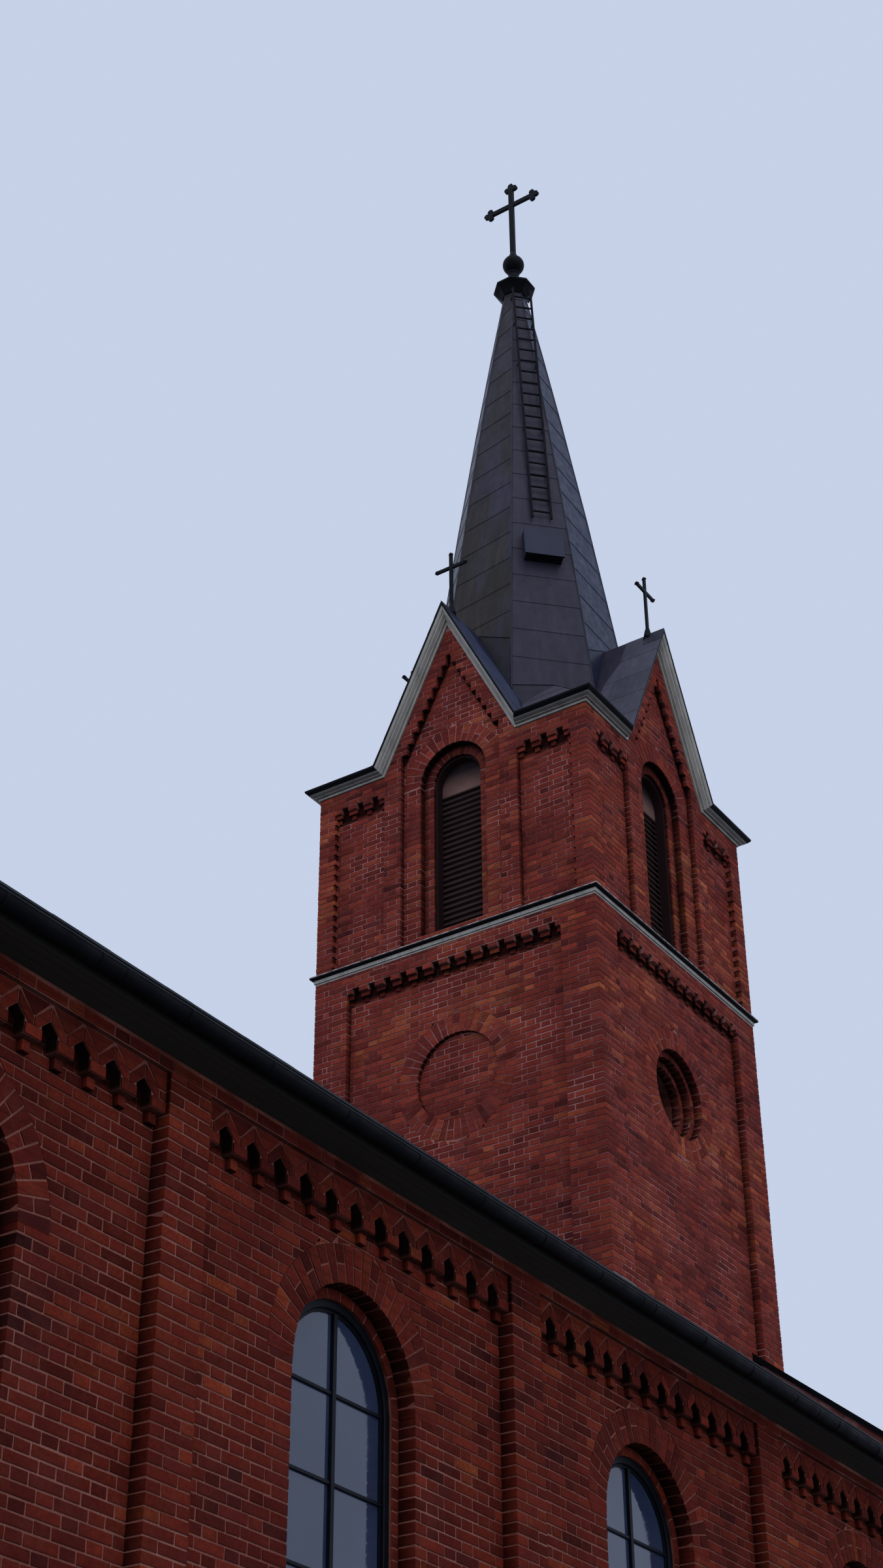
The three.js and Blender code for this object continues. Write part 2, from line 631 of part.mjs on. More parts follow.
// The ladder stands away from the face, more so at its top; each bracket reaches back to the face
function spireLadder() {
  const { width, foot, top, bar, rung, pitch, shift } = LADDER
  const [offLow, offHigh] = LADDER_OFF
  const [low, high] = [[faceOut(foot) + offLow, foot], [faceOut(top) + offHigh, top]]
  const length = Math.hypot(low[0] - high[0], top - foot)
  const lean = Math.asin((low[0] - high[0]) / length)
  const depthToFace = along => {
    let depth = 0
    for (let round = 0; round < 4; round++) {
      const z = foot + along * Math.cos(lean) - depth * Math.sin(lean)
      depth = (low[0] - along * Math.sin(lean) - faceOut(z)) / Math.cos(lean)
    }
    return depth
  }
  const sides = [shift - width / 2, shift + width / 2]
  const rails = sides.map(x => block(x - bar / 2, x + bar / 2, 0, length, 0, bar))
  const rungs = []
  for (let along = pitch / 2; along < length; along += pitch) {
    rungs.push(block(...sides, along - rung / 2, along + rung / 2, (bar - rung) / 2, (bar + rung) / 2))
  }
  const feet = LADDER_FEET.flatMap(share => {
    const [from, to] = [share * length - bar / 3, share * length + bar / 3]
    const depth = Math.min(depthToFace(from), depthToFace(to)) - GAP
    return sides.map(x => block(x - bar / 4, x + bar / 4, from, to, -depth, bar / 2))
  })
  return leaned(join([...rails, ...rungs, ...feet]), low, high)
}

function spireCollar() {
  const seat = [spireRadius(SPIRE_CUT) + 2 * GAP, SPIRE_CUT + GAP]
  const ball = new THREE.SphereGeometry(BALL_RADIUS, 16, 12).rotateX(Math.PI / 2).translate(0, 0, BALL_Z)
  const { radius, low, high } = BALL_BOSS
  const boss = new THREE.CylinderGeometry(radius, radius, high - low, 10).rotateX(Math.PI / 2)
  return join([octagonal([seat, ...COLLAR]), ball, boss.translate(0, 0, (low + high) / 2)])
}

function disc(y, z, radius, thick) {
  return new THREE.CylinderGeometry(radius, radius, thick, 8).rotateZ(Math.PI / 2).translate(0, y, z)
}

// The cross on the ball: bars with three buds at each end
function spireCross() {
  const { foot, top, arm, reach, bar, armBar, thick, bud, root } = CROSS
  const pieces = [
    block(-thick / 2, thick / 2, -bar / 2, bar / 2, foot + GAP, top - bud),
    block(-thick / 2, thick / 2, bud - reach, reach - bud, arm - armBar / 2, arm + armBar / 2),
    new THREE.CylinderGeometry(bar / 2, bar * 0.95, root, 8).rotateX(Math.PI / 2)
      .translate(0, 0, foot + GAP + root / 2),
  ]
  const ends = [[0, top - bud, 1, 0], [reach - bud, arm, 0, 1], [bud - reach, arm, 0, 1]]
  for (const [y, z, sideY, sideZ] of ends) {
    const back = bud * 1.3
    const inY = y - Math.sign(y) * back
    const inZ = y === 0 ? z - back : z
    pieces.push(disc(y, z, bud, thick))
    pieces.push(disc(inY + sideY * back, inZ + sideZ * back, bud, thick))
    pieces.push(disc(inY - sideY * back, inZ - sideZ * back, bud, thick))
  }
  return join(pieces)
}

// A small cross that rides on the ridge of a belfry gable
function gableCross() {
  const { foot, top, arm, reach, bar, thick, bud, root } = GABLE_CROSS
  const socket = new THREE.CylinderGeometry(bar * 0.55, bar * 1.3, root, 8).rotateX(Math.PI / 2)
  const pieces = [
    block(-thick / 2, thick / 2, -bar / 2, bar / 2, foot, top - bud),
    block(-thick / 2, thick / 2, bud - reach, reach - bud, arm - bar / 2, arm + bar / 2),
    socket.translate(0, 0, foot + root / 2),
  ]
  for (const [y, z] of [[0, top - bud], [reach - bud, arm], [bud - reach, arm]]) {
    pieces.push(new THREE.OctahedronGeometry(bud).translate(0, y, z))
  }
  const cross = join(pieces).translate(-GABLE_CROSS_PLACE, 0, 0)
  const apex = GABLE_APEX + CORNICE_TOP * GABLE_STRETCH + 1
  const wide = GABLE_FOOT / 2
  const base = apex - wide * GABLE_SLOPE
  const ridge = alongX([[-wide, base], [wide, base], [0, apex]], -TOWER_HALF, 0)
  return cut(cross, [ridge]).rotateZ(Math.PI / 2)
}

function portalLeaf() {
  const radius = DOOR_RADIUS - GAP
  const foot = FLOOR_TOP + GAP
  const head = arc(0, DOOR_SPRING, radius, Math.PI / 2, Math.PI, ARC_STEPS / 2)
  const outline = [[-GAP, foot], ...head.map(([x, z]) => [Math.min(x, -GAP), z]), [-radius, foot]]
  const face = PORTAL_ORDER_DEPTH - TOWER_HALF + LEAF_SETBACK
  return alongY(outline, face, face + DOOR_THICK)
}

function portalStep() {
  const side = DOOR_RADIUS - GAP
  return block(-side, side, -TOWER_HALF + 10, SHAFT_WALL - TOWER_HALF - GAP, 0, FLOOR_TOP)
}

function belfryFloor() {
  const inner = TOWER_HALF - SHAFT_WALL - GAP
  return block(-inner, inner, -inner, inner, ...BELFRY_FLOOR)
}

// Finishes
const BRICK = { color: 0x7d443c, roughness: 0.9, metalness: 0 }
const ROOFING = { color: 0x3c3f45, roughness: 0.7, metalness: 0 }
const SHEET = { color: 0x4d4f5a, roughness: 0.55, metalness: 0.4 }
const TRIM = { color: 0x8e918f, roughness: 0.6, metalness: 0 }
const BLACK = { color: 0x15171c, roughness: 0.5, metalness: 0.2 }
const GLASS = { color: 0x2c3138, roughness: 0.2, metalness: 0.1 }
const TIMBER = { color: 0x2f2c24, roughness: 0.7, metalness: 0 }
const DARK_TIMBER = { color: 0x26221f, roughness: 0.8, metalness: 0 }
const IRON = { color: 0x1b2233, roughness: 0.5, metalness: 0.6 }
const STONE = { color: 0x6d6a64, roughness: 0.85, metalness: 0 }

const church = new THREE.Group()
church.position.x = -MIDDLE_X

function place(name, geometry, finish, turn = 0) {
  const mesh = new THREE.Mesh(geometry, new THREE.MeshStandardMaterial(finish))
  mesh.name = name
  mesh.rotation.z = turn * Math.PI / 2
  church.add(mesh)
}

// A piece of the left side, and its mirror image on the right
function placePair(name, suffix, geometry, finish) {
  place(`${name}_left${suffix}`, geometry, finish)
  place(`${name}_right${suffix}`, mirrored(geometry, 'y'), finish)
}

const TURNS = { left: 0, front: 1, right: 2, rear: 3 }

placePair('nave', '_wall', naveSideWall(), BRICK)
place('rear_gable_wall', rearGableWall(), BRICK)
placePair('front_gable', '_wall', frontGable(), BRICK)
place('nave_floor', naveFloor(), STONE)
placePair('nave_roof', '', naveRoof(), ROOFING)
placePair('eaves', '', eaves(), TIMBER)
place('rear_coping', rearCoping(), BLACK)
placePair('front_coping', '', frontCoping(), BLACK)
bayPanels().forEach(([left, right], i) => {
  placePair('nave_window', `_${i + 1}`, naveWindow((left + right) / 2), GLASS)
})
rearPanels().forEach(([left, right], i) => {
  place(`rear_window_${i + 1}`, rearWindow((left + right) / 2), GLASS)
})
place('tower_belt_course', beltCourse(), TRIM)
place('belfry_floor', belfryFloor(), TIMBER)
for (const [side, turn] of Object.entries(TURNS)) {
  place(`tower_wall_${side}`, shaftWall(side), BRICK, turn)
  place(`belfry_wall_${side}`, belfryWall(), BRICK, turn)
  place(`belfry_louvres_${side}`, louvres(), DARK_TIMBER, turn)
  place(`gable_cross_${side}`, gableCross(), IRON, turn)
}
place('gable_cornice', gableCornice(), TRIM)
place('gable_roofs', gableRoofs(), SHEET)
place('spire', spire(), SHEET)
place('spire_hatch', spireHatch(), SHEET)
place('spire_ladder', spireLadder(), SHEET)
place('spire_collar', spireCollar(), BLACK)
place('spire_cross', spireCross(), IRON)
place('portal_leaf_left', portalLeaf(), DARK_TIMBER, TURNS.front)
place('portal_leaf_right', mirrored(portalLeaf(), 'x'), DARK_TIMBER, TURNS.front)
place('portal_step', portalStep(), STONE, TURNS.front)

export default church
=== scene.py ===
import bmesh
import bpy
from mathutils import Matrix
import numpy as np


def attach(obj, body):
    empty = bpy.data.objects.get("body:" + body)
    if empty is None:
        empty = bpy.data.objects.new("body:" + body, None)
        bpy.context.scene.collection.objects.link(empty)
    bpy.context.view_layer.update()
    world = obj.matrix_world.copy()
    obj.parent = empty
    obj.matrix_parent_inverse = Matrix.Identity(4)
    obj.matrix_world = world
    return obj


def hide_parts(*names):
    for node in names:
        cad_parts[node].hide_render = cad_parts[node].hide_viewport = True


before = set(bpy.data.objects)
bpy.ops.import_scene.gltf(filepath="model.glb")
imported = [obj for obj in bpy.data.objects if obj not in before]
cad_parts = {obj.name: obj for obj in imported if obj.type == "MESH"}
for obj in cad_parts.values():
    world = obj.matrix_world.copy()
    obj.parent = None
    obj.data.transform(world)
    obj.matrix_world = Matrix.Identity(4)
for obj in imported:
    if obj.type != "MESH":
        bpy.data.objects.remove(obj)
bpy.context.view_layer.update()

rng = np.random.default_rng(11)


# Mortar body of the walls. The real walls are solid brickwork in lime mortar; the solids of
# the frame stand for its body and joints, and every brick below lies a few millimetres proud.
def material(name, roughness, specular=0.5, metallic=0.0):
    """A new material, with its node tree and its Principled surface."""
    made = bpy.data.materials.new(name)
    made.use_nodes = True
    surface = made.node_tree.nodes["Principled BSDF"]
    surface.inputs["Roughness"].default_value = roughness
    surface.inputs["Specular IOR Level"].default_value = specular
    surface.inputs["Metallic"].default_value = metallic
    return made, made.node_tree, surface


def add(tree, kind, sockets=None, **settings):
    """Adds a shader node and sets it up; an input takes a link from a socket, or a value."""
    made = tree.nodes.new("ShaderNode" + kind)
    for name, value in settings.items():
        setattr(made, name, value)
    for key, value in (sockets or {}).items():
        if isinstance(value, bpy.types.NodeSocket):
            tree.links.new(value, made.inputs[key])
        else:
            made.inputs[key].default_value = value
    return made


def place_of(tree):
    """The x, y and z of a point, in the object's own metres."""
    return add(tree, "SeparateXYZ", {0: add(tree, "TexCoord").outputs["Object"]}).outputs


def facing_of(tree, kind="True Normal"):
    """The x, y and z of the direction that the surface faces."""
    return add(tree, "SeparateXYZ", {0: add(tree, "NewGeometry").outputs[kind]}).outputs


def noise(tree, scale, detail=3.0, stretch=(1, 1, 1), roughness=0.5):
    """Cloudy noise from 0 to 1 over the object's own metres, with each axis scaled."""
    place = add(tree, "TexCoord").outputs["Object"]
    mapped = add(tree, "Mapping", {"Vector": place, "Scale": stretch}).outputs[0]
    sockets = {"Vector": mapped, "Scale": scale, "Detail": detail, "Roughness": roughness}
    return add(tree, "TexNoise", sockets).outputs[0]


def mix(tree, share, first, second, blend="MIX"):
    """Two colours mixed by a share."""
    first, second = ((*c, 1) if isinstance(c, tuple) else c for c in (first, second))
    sockets = {0: share, 6: first, 7: second}
    return add(tree, "Mix", sockets, data_type="RGBA", blend_type=blend).outputs[2]


def tinted(tree, first, second):
    """The product of two colours."""
    return mix(tree, 1.0, first, second, "MULTIPLY")


def calc(tree, operation, first, second=0.0):
    """One step of arithmetic."""
    return add(tree, "Math", {0: first, 1: second}, operation=operation).outputs[0]


def times(tree, *values):
    """The product of two or more values."""
    product = values[0]
    for value in values[1:]:
        product = calc(tree, "MULTIPLY", product, value)
    return product


def stretched(tree, value, low, high, to_low=0.0, to_high=1.0):
    """Maps low..high to to_low..to_high, and holds it there."""
    sockets = {"Value": value, "From Min": low, "From Max": high, "To Min": to_low, "To Max": to_high}
    return add(tree, "MapRange", sockets).outputs[0]


def ramp(tree, share, stops):
    """Colours between stops of (place, colour)."""
    made = add(tree, "ValToRGB", {0: share})
    elements = made.color_ramp.elements
    elements.remove(elements[1])
    elements[0].position, elements[0].color = stops[0][0], (*stops[0][1], 1)
    for place, colour in stops[1:]:
        elements.new(place).color = (*colour, 1)
    return made.outputs[0]


def coloured(tree, surface, colour):
    """Gives a surface its base colour."""
    tree.links.new(colour, surface.inputs["Base Color"])


def clouded(tree, surface, cloud, dark, light, low=0.3, high=0.7):
    """A base colour that goes from dark to light as a cloud of noise goes from low to high."""
    coloured(tree, surface, ramp(tree, cloud, [(low, dark), (high, light)]))


def bumped(tree, surface, height, distance):
    """Small relief from a height between 0 and 1, of that many metres."""
    sockets = {"Height": height, "Distance": distance}
    tree.links.new(add(tree, "Bump", sockets).outputs[0], surface.inputs["Normal"])


AXIS = 7.4485           # the tower's axis, along the nave
TOWER_HALF = 2.042
BELL_ARCH_Z = 18.5      # middle of the belfry's arches


def within(tree, value, *limits):
    """Share that goes from 0 to 1 between the first two limits, and back between the other two."""
    up, down = sorted(limits[:2]), limits[2:]
    ends = (0.0, 1.0) if up[0] == limits[0] else (1.0, 0.0)
    share = stretched(tree, value, *up, *ends)
    return times(tree, share, stretched(tree, value, *down, 1.0, 0.0)) if down else share


def tone_and_painted_shade(tree):
    """Grey factor for the walls by place: a darker and redder nave, painted shade in the notches of
    the nave's frieze, in the friezes, stairs and arches of the tower and on undersides, and darker ledges."""
    x, y, z = place_of(tree)
    facing = facing_of(tree)
    along, across = (calc(tree, "ABSOLUTE", v) for v in (calc(tree, "SUBTRACT", x, AXIS), y))
    plan, beside = (calc(tree, kind, along, across) for kind in ("MAXIMUM", "MINIMUM"))
    endwise = within(tree, calc(tree, "ABSOLUTE", facing[0]), 0.6, 0.8)
    rise = calc(tree, "MAXIMUM", calc(tree, "SUBTRACT", z, BELL_ARCH_Z), 0.0)
    radius = calc(tree, "SQRT", calc(tree, "ADD", times(tree, beside, beside), times(tree, rise, rise)))
    below_stairs = calc(tree, "SUBTRACT", calc(tree, "SUBTRACT", 20.4, z), times(tree, beside, 1.955))
    sunk = within(tree, plan, TOWER_HALF - 0.03, TOWER_HALF - 0.07)
    above_belt = within(tree, z, 16.1, 16.2)
    # the painted shade in a belfry arch grows stronger higher up
    arch_shade_by_height = stretched(tree, z, 18.3, 18.8, 0.45, 0.85)
    order_shade_by_height = stretched(tree, z, 18.3, 18.85, 0.15, 0.6)
    places = [
        # painted shade in the notches of the nave's frieze, and on the sides of its teeth
        (times(tree, within(tree, across, 5.222, 5.205), within(tree, z, 7.70, 7.74, 8.07, 8.075)), 0.84),
        (times(tree, within(tree, across, 5.254, 5.245), endwise, within(tree, z, 7.70, 7.72, 8.0, 8.02)),
         0.75),
        # painted shade in the friezes of the tower's shaft and of the belfry's side panels
        (times(tree, sunk, within(tree, z, 15.56, 15.62, 15.79, 15.80)), 0.88),
        (times(tree, sunk, within(tree, z, 18.32, 18.38, 18.565, 18.575), within(tree, beside, 0.9, 0.95)),
         0.88),
        # painted shadow under the stairs of the belfry's middle panels
        (times(tree, sunk, within(tree, below_stairs, 0.11, 0.05), within(tree, z, 18.9, 18.91)), 0.85),
        # painted shade in the reveal round a belfry arch, on its inner order, and on the jambs beside the
        # louvres
        (times(tree, within(tree, plan, 1.957, 1.945), within(tree, radius, 0.43, 0.485, 0.52, 0.53),
               above_belt, arch_shade_by_height), 1.0),
        (times(tree, within(tree, plan, 1.875, 1.870), within(tree, radius, 0.505, 0.5), order_shade_by_height), 0.85),
        (times(tree, within(tree, plan, 1.855, 1.84), within(tree, radius, 0.5, 0.49), above_belt), 0.65),
        # painted shade on undersides, and upward ledges darker
        (within(tree, facing[2], -0.15, -0.5), 0.62),
        (within(tree, facing[2], 0.3, 0.7), 0.7),
    ]
    shades = [stretched(tree, z, 8.4, 10.5, low, 1.0) for low in (0.665, 0.565, 0.46)]
    for share, depth in places:
        kept = stretched(tree, share, 0.0, 1.0, 1.0, 1 - depth)
        shades = [times(tree, shade, kept) for shade in shades]
    return add(tree, "CombineColor", dict(enumerate(shades))).outputs[0]


def washed(tree):
    """Share by which the joints have taken on the colour of the bricks, in patches."""
    patches = stretched(tree, noise(tree, 1.5, 5.0, roughness=0.6), 0.42, 0.56)
    return times(tree, patches, stretched(tree, place_of(tree)[2], 7.0, 8.0, 0.25, 0.85))


MORTAR_COLOUR = (0.49, 0.205, 0.18)
mortar, tree, surface = material("lime_mortar", 0.93, 0.05)
shade = ramp(tree, noise(tree, 1.3, 5.0),
             [(0.3, (0.36, 0.135, 0.118)), (0.5, MORTAR_COLOUR), (0.7, (0.60, 0.29, 0.265))])
shade = mix(tree, washed(tree), shade, (0.165, 0.036, 0.029))
speckled = mix(tree, stretched(tree, noise(tree, 60, 3.0), 0.4, 0.7, 0, 0.35), shade, (0.18, 0.055, 0.045))
coloured(tree, surface, tinted(tree, speckled, tone_and_painted_shade(tree)))
bumped(tree, surface, noise(tree, 150, 3.0), 0.003)


def finish_nodes(names, made):
    """Gives CAD nodes their material."""
    for name in names:
        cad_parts[name].data.materials.clear()
        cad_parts[name].data.materials.append(made)


SIDES = ("left", "front", "right", "rear")
finish_nodes([f"nave_{side}_wall" for side in ("left", "right")], mortar)
finish_nodes([f"front_gable_{side}_wall" for side in ("left", "right")] + ["rear_gable_wall"], mortar)
finish_nodes([f"{part}_wall_{side}" for part in ("tower", "belfry") for side in SIDES], mortar)


# Nave side walls. Hand-made red bricks, long and short faces by turns in each course, laid as
# five bays of recessed panels between pilasters, with a frieze of pointed corbels at the top.
COURSE = 0.077
JOINT = 0.0105
LONG = 0.2645
SHORT = 0.126
UNIT = LONG + SHORT + 2 * JOINT
REST = 0.046        # a cut brick shorter than this joins its neighbour
TIP = 0.014         # least width of the end of a brick that is cut aslant
PROUD = 0.005       # brick faces stand this far out of the mortar
ROUND = 0.0115      # share of an arch's radius by which its bricks stand into the opening
WORN = 0.0022       # worn edge round each face
FAR = 99.0


def tone_of(tree):
    """The red, green, blue and alpha of a block's colour attribute; its alpha is painted shade."""
    tone_and_shade = add(tree, "Attribute", attribute_name="tone_and_shade").outputs
    return *add(tree, "SeparateColor", {0: tone_and_shade["Color"]}).outputs, tone_and_shade["Alpha"]


brick, tree, surface = material("red_brick", 0.88, 0.05)
lightness, warm_tone, edge_share, recess_shade = tone_of(tree)
patch = stretched(tree, noise(tree, 0.8, 4.0, roughness=0.6), 0.34, 0.68)
warmth = calc(tree, "ADD", times(tree, warm_tone, 0.6), times(tree, patch, 0.4))
fired = ramp(tree, warmth, [(0.06, (0.063, 0.015, 0.021)), (0.2, (0.122, 0.020, 0.020)),
                            (0.45, (0.22, 0.031, 0.021)), (0.68, (0.298, 0.047, 0.026)),
                            (0.82, (0.39, 0.084, 0.033)), (0.95, (0.47, 0.13, 0.05))])
grain = stretched(tree, noise(tree, 34, 6.0, roughness=0.65), 0.37, 0.63)
# Painted shade: the lower part of each course is darkened with the grain, as the shadow along each brick's
# lower edge.
course = calc(tree, "FRACT", calc(tree, "DIVIDE", place_of(tree)[2], COURSE))
grain = calc(tree, "MAXIMUM", grain, stretched(tree, course, 0.1, 0.42, 1.2, 0.0))
mottled_and_edge_shaded = mix(tree, times(tree, grain, 0.5), fired, (0.080, 0.0175, 0.017))
brightness = ramp(tree, lightness, [(0, (0.5, 0.5, 0.54)), (1, (1.42, 1.38, 1.34))])
bright = tinted(tree, mottled_and_edge_shaded, brightness)
film = times(tree, stretched(tree, noise(tree, 5.5, 5.0, roughness=0.7), 0.45, 0.75), 0.14)
filmed = mix(tree, film, bright, (0.36, 0.14, 0.11))
pale = stretched(tree, washed(tree), 0.0, 1.0, 0.7, 0.15)
edged = mix(tree, times(tree, edge_share, pale), filmed, MORTAR_COLOUR)
# Painted shade: the sides of deep blocks, such as reveals and the sides of notches, darken towards the back
# by the attribute's alpha.
depth = calc(tree, "POWER", recess_shade, 1.3)
deep = add(tree, "CombineColor", {0: depth, 1: depth, 2: depth}).outputs[0]
coloured(tree, surface, tinted(tree, tinted(tree, edged, deep), tone_and_painted_shade(tree)))
rough = calc(tree, "ADD", times(tree, noise(tree, 90, 4.0), 0.7), noise(tree, 26, 3.0))
bumped(tree, surface, rough, 0.0035)


def trimmed(bricks, left, right, reach=0.0):
    """Bricks cut to the space between two lines, each given at the brick's foot and top.

    A rest shorter than REST is dropped and its neighbour runs on to the line, so that courses
    end flush. A brick that ends on a line goes back into the wall by reach. Where a sloping line
    takes the whole foot or top of a brick, the brick ends at the height where TIP is left of it.
    """
    left, right = (np.broadcast_to(line, (2, bricks.shape[1])) for line in (left, right))
    ends = [([0, 2], left, np.maximum), ([1, 3], right, np.minimum)]
    cut = bricks.copy()
    for rows, line, limit in ends:
        cut[rows] = limit(cut[rows], line)
    foot_wide, top_wide = cut[1] - cut[0], cut[3] - cut[2]
    share = (TIP - foot_wide) / np.where(top_wide == foot_wide, 1, top_wide - foot_wide)
    at_share = cut[:2] + share * (cut[2:4] - cut[:2])
    height = cut[4] + share * (cut[5] - cut[4])
    for rows, z, gone in ((slice(0, 2), 4, (foot_wide < TIP) & (top_wide > REST)),
                          (slice(2, 4), 5, (top_wide < TIP) & (foot_wide > REST))):
        cut[rows], cut[z] = np.where(gone, at_share, cut[rows]), np.where(gone, height, cut[z])
    wide = np.maximum(foot_wide, top_wide) > REST
    kept = wide & (cut[5] - cut[4] > TIP) & (np.minimum(cut[1] - cut[0], cut[3] - cut[2]) > TIP / 2)
    cut = cut[:, kept]
    for rows, line, _ in ends:
        close = np.abs(cut[rows] - line[:, kept]).max(axis=0) < REST + 1.5 * JOINT
        cut[rows] = np.where(close, line[:, kept], cut[rows])
        cut[6] = np.where(close, np.maximum(cut[6], reach), cut[6])
    return cut


def upright(start, end, foot, top, reach=0.0):
    """Bricks with upright ends, as rows left, right at the foot, left, right at the top, foot, top,
    reach."""
    return np.array(np.broadcast_arrays(start, end, start, end, foot, top, reach), float)


def lay(left, right, low, high, reach=0.0, first=0.0, shift=UNIT / 2, base=0.0):
    """Bricks of a wall face, as rows like those of upright.

    Course k lies between base + k COURSE and the next; its units of one long and one short face
    start at first + n UNIT, and in every second course at first + shift + n UNIT.
    """
    course = np.arange(np.floor((low - base) / COURSE), np.ceil((high - base) / COURSE))
    unit = np.arange(np.floor((left - first) / UNIT) - 2, np.ceil((right - first) / UNIT) + 1)
    course, unit = (grid.ravel() for grid in np.meshgrid(course, unit))
    start = first + unit * UNIT + (course % 2) * shift
    foot = np.maximum(base + course * COURSE + JOINT / 2, low)
    top = np.minimum(base + (course + 1) * COURSE - JOINT / 2, high)
    longs = upright(start, start + LONG, foot, top)
    shorts = upright(start + LONG + JOINT, start + UNIT - JOINT, foot, top)
    bricks = np.concatenate([longs, shorts], axis=1)
    bricks = bricks[:, bricks[5] - bricks[4] > COURSE / 3]
    return trimmed(bricks, left, right, reach)


def around(bricks, centre, half, reach=0.0):
    """Bricks beside an opening, whose half width is half(heights, the brick's middle height)."""
    width = half(bricks[4:6], bricks[4:6].mean(axis=0))
    beside = width.max(axis=0) > 0
    met, width = bricks[:, beside], width[:, beside]
    return np.concatenate([
        bricks[:, ~beside],
        trimmed(met, -FAR, centre - width, reach),
        trimmed(met, centre + width, FAR, reach),
    ], axis=1)


def arched(radius, foot, spring, ring=0.0):
    """Half width of a round-headed opening: its radius less a face's projection up to the spring,
    then the chord sqrt(R^2 - (z - spring)^2) of the arch ring's outer circle."""
    def half(heights, middle):
        chord = np.sqrt(np.clip((radius + ring) ** 2 - (heights - spring) ** 2, 0, None))
        return np.where(middle < foot, 0, np.where(middle < spring, radius - PROUD, chord))
    return half


def round_hole(z, radius):
    """Half width of a round opening about height z."""
    def half(heights, middle):
        return np.sqrt(np.clip(radius ** 2 - (heights - z) ** 2, 0, None))
    return half


def outlines(bricks):
    """The four corners of each brick's face, from lower left round to upper left."""
    a0, b0, a1, b1, foot, top, _ = bricks
    return np.stack([np.stack(c, -1) for c in ((a0, foot), (b0, foot), (b1, top), (a1, top))], 1)


def arch_ring(centre, spring, inner, length, count, start=0.0, end=np.pi, split=True):
    """Arch bricks set on radii: brick k stands at angle start + (k + 1/2) step, widens outwards,
    and every second one is split into two short ones."""
    step = (end - start) / count
    length += ROUND * inner
    inner -= ROUND * inner
    angle = start + (np.arange(count) + 0.5) * step
    odd = split & (np.arange(count) % 2 == 1)
    middle = inner + length / 2
    spans = [(angle[~odd], inner, inner + length), (angle[odd], inner, middle - JOINT / 2),
             (angle[odd], middle + JOINT / 2, inner + length)]
    pieces = []
    for turn, near, far in spans:
        outwards = np.stack([np.cos(turn), np.sin(turn)], -1)
        across = np.stack([-np.sin(turn), np.cos(turn)], -1)
        pieces.append(np.stack([outwards * radius + side * (radius * step - JOINT) / 2 * across
                                for radius, side in ((near, 1), (near, -1), (far, -1), (far, 1))], 1))
    return np.concatenate(pieces) + np.array([centre, spring])


def drawn_in(quads, by):
    """Each outline's corners moved inwards along both of its edges."""
    moved = quads.copy()
    for turn in (1, -1):
        edge = np.roll(quads, turn, axis=1) - quads
        moved += by * edge / np.linalg.norm(edge, axis=2, keepdims=True)
    return moved


def on_face(face, flat, depth):
    """Points (u, v) of a face at a depth d: origin + u along + v up + d (along x up)."""
    origin, along, up = (np.array(v, float) for v in face)
    out = np.cross(along, up)
    return origin + flat[..., :1] * along + flat[..., 1:] * up + np.asarray(depth)[..., None] * out


def blocks(face, quads, back, front, worn=WORN):
    """Blocks on a face, from depth back to depth front; the front is drawn in by the worn edge."""
    flat = np.concatenate([quads, drawn_in(quads, worn)], axis=1)
    ends = [np.broadcast_to(np.atleast_2d(np.asarray(d, float).T).T, (len(quads), 4)) for d in (back, front)]
    return on_face(face, flat, np.concatenate(ends, axis=1))


def fronts(plane, count):
    """Depths of the fronts of so many bricks that stand before a plane, a little uneven."""
    return plane + PROUD + rng.uniform(-0.001, 0.002, count)


def brickwork(face, bricks, depth=0.0):
    """Brick faces laid on a plane that lies depth out of a face, a little uneven."""
    quads = outlines(bricks) + rng.normal(0, 0.0014, (bricks.shape[1], 4, 2))
    front = depth + PROUD + rng.uniform(-0.0016, 0.0014, len(quads))
    return blocks(face, quads, depth - np.maximum(bricks[6], 2 * PROUD), front)


BLOCK_FACES = np.array([[4, 5, 6, 7], [3, 2, 1, 0], [0, 1, 5, 4], [1, 2, 6, 5], [2, 3, 7, 6], [3, 0, 4, 7]])
FRONT_BACK = np.array([1, 1, 1, 1, 0, 0, 0, 0])
INNER_EDGE = np.array([0, 0, 1, 0, 0, 0, 1, 0])


def block_faces(count):
    """The faces of a number of blocks, whose corners follow one another."""
    return (BLOCK_FACES + 8 * np.arange(count)[:, None, None]).reshape(-1, 4)


def placed(name, mesh, made):
    """The object of a finished mesh, in its material."""
    mesh.materials.append(made)
    piece = bpy.data.objects.new(name, mesh)
    bpy.context.scene.collection.objects.link(piece)
    return piece


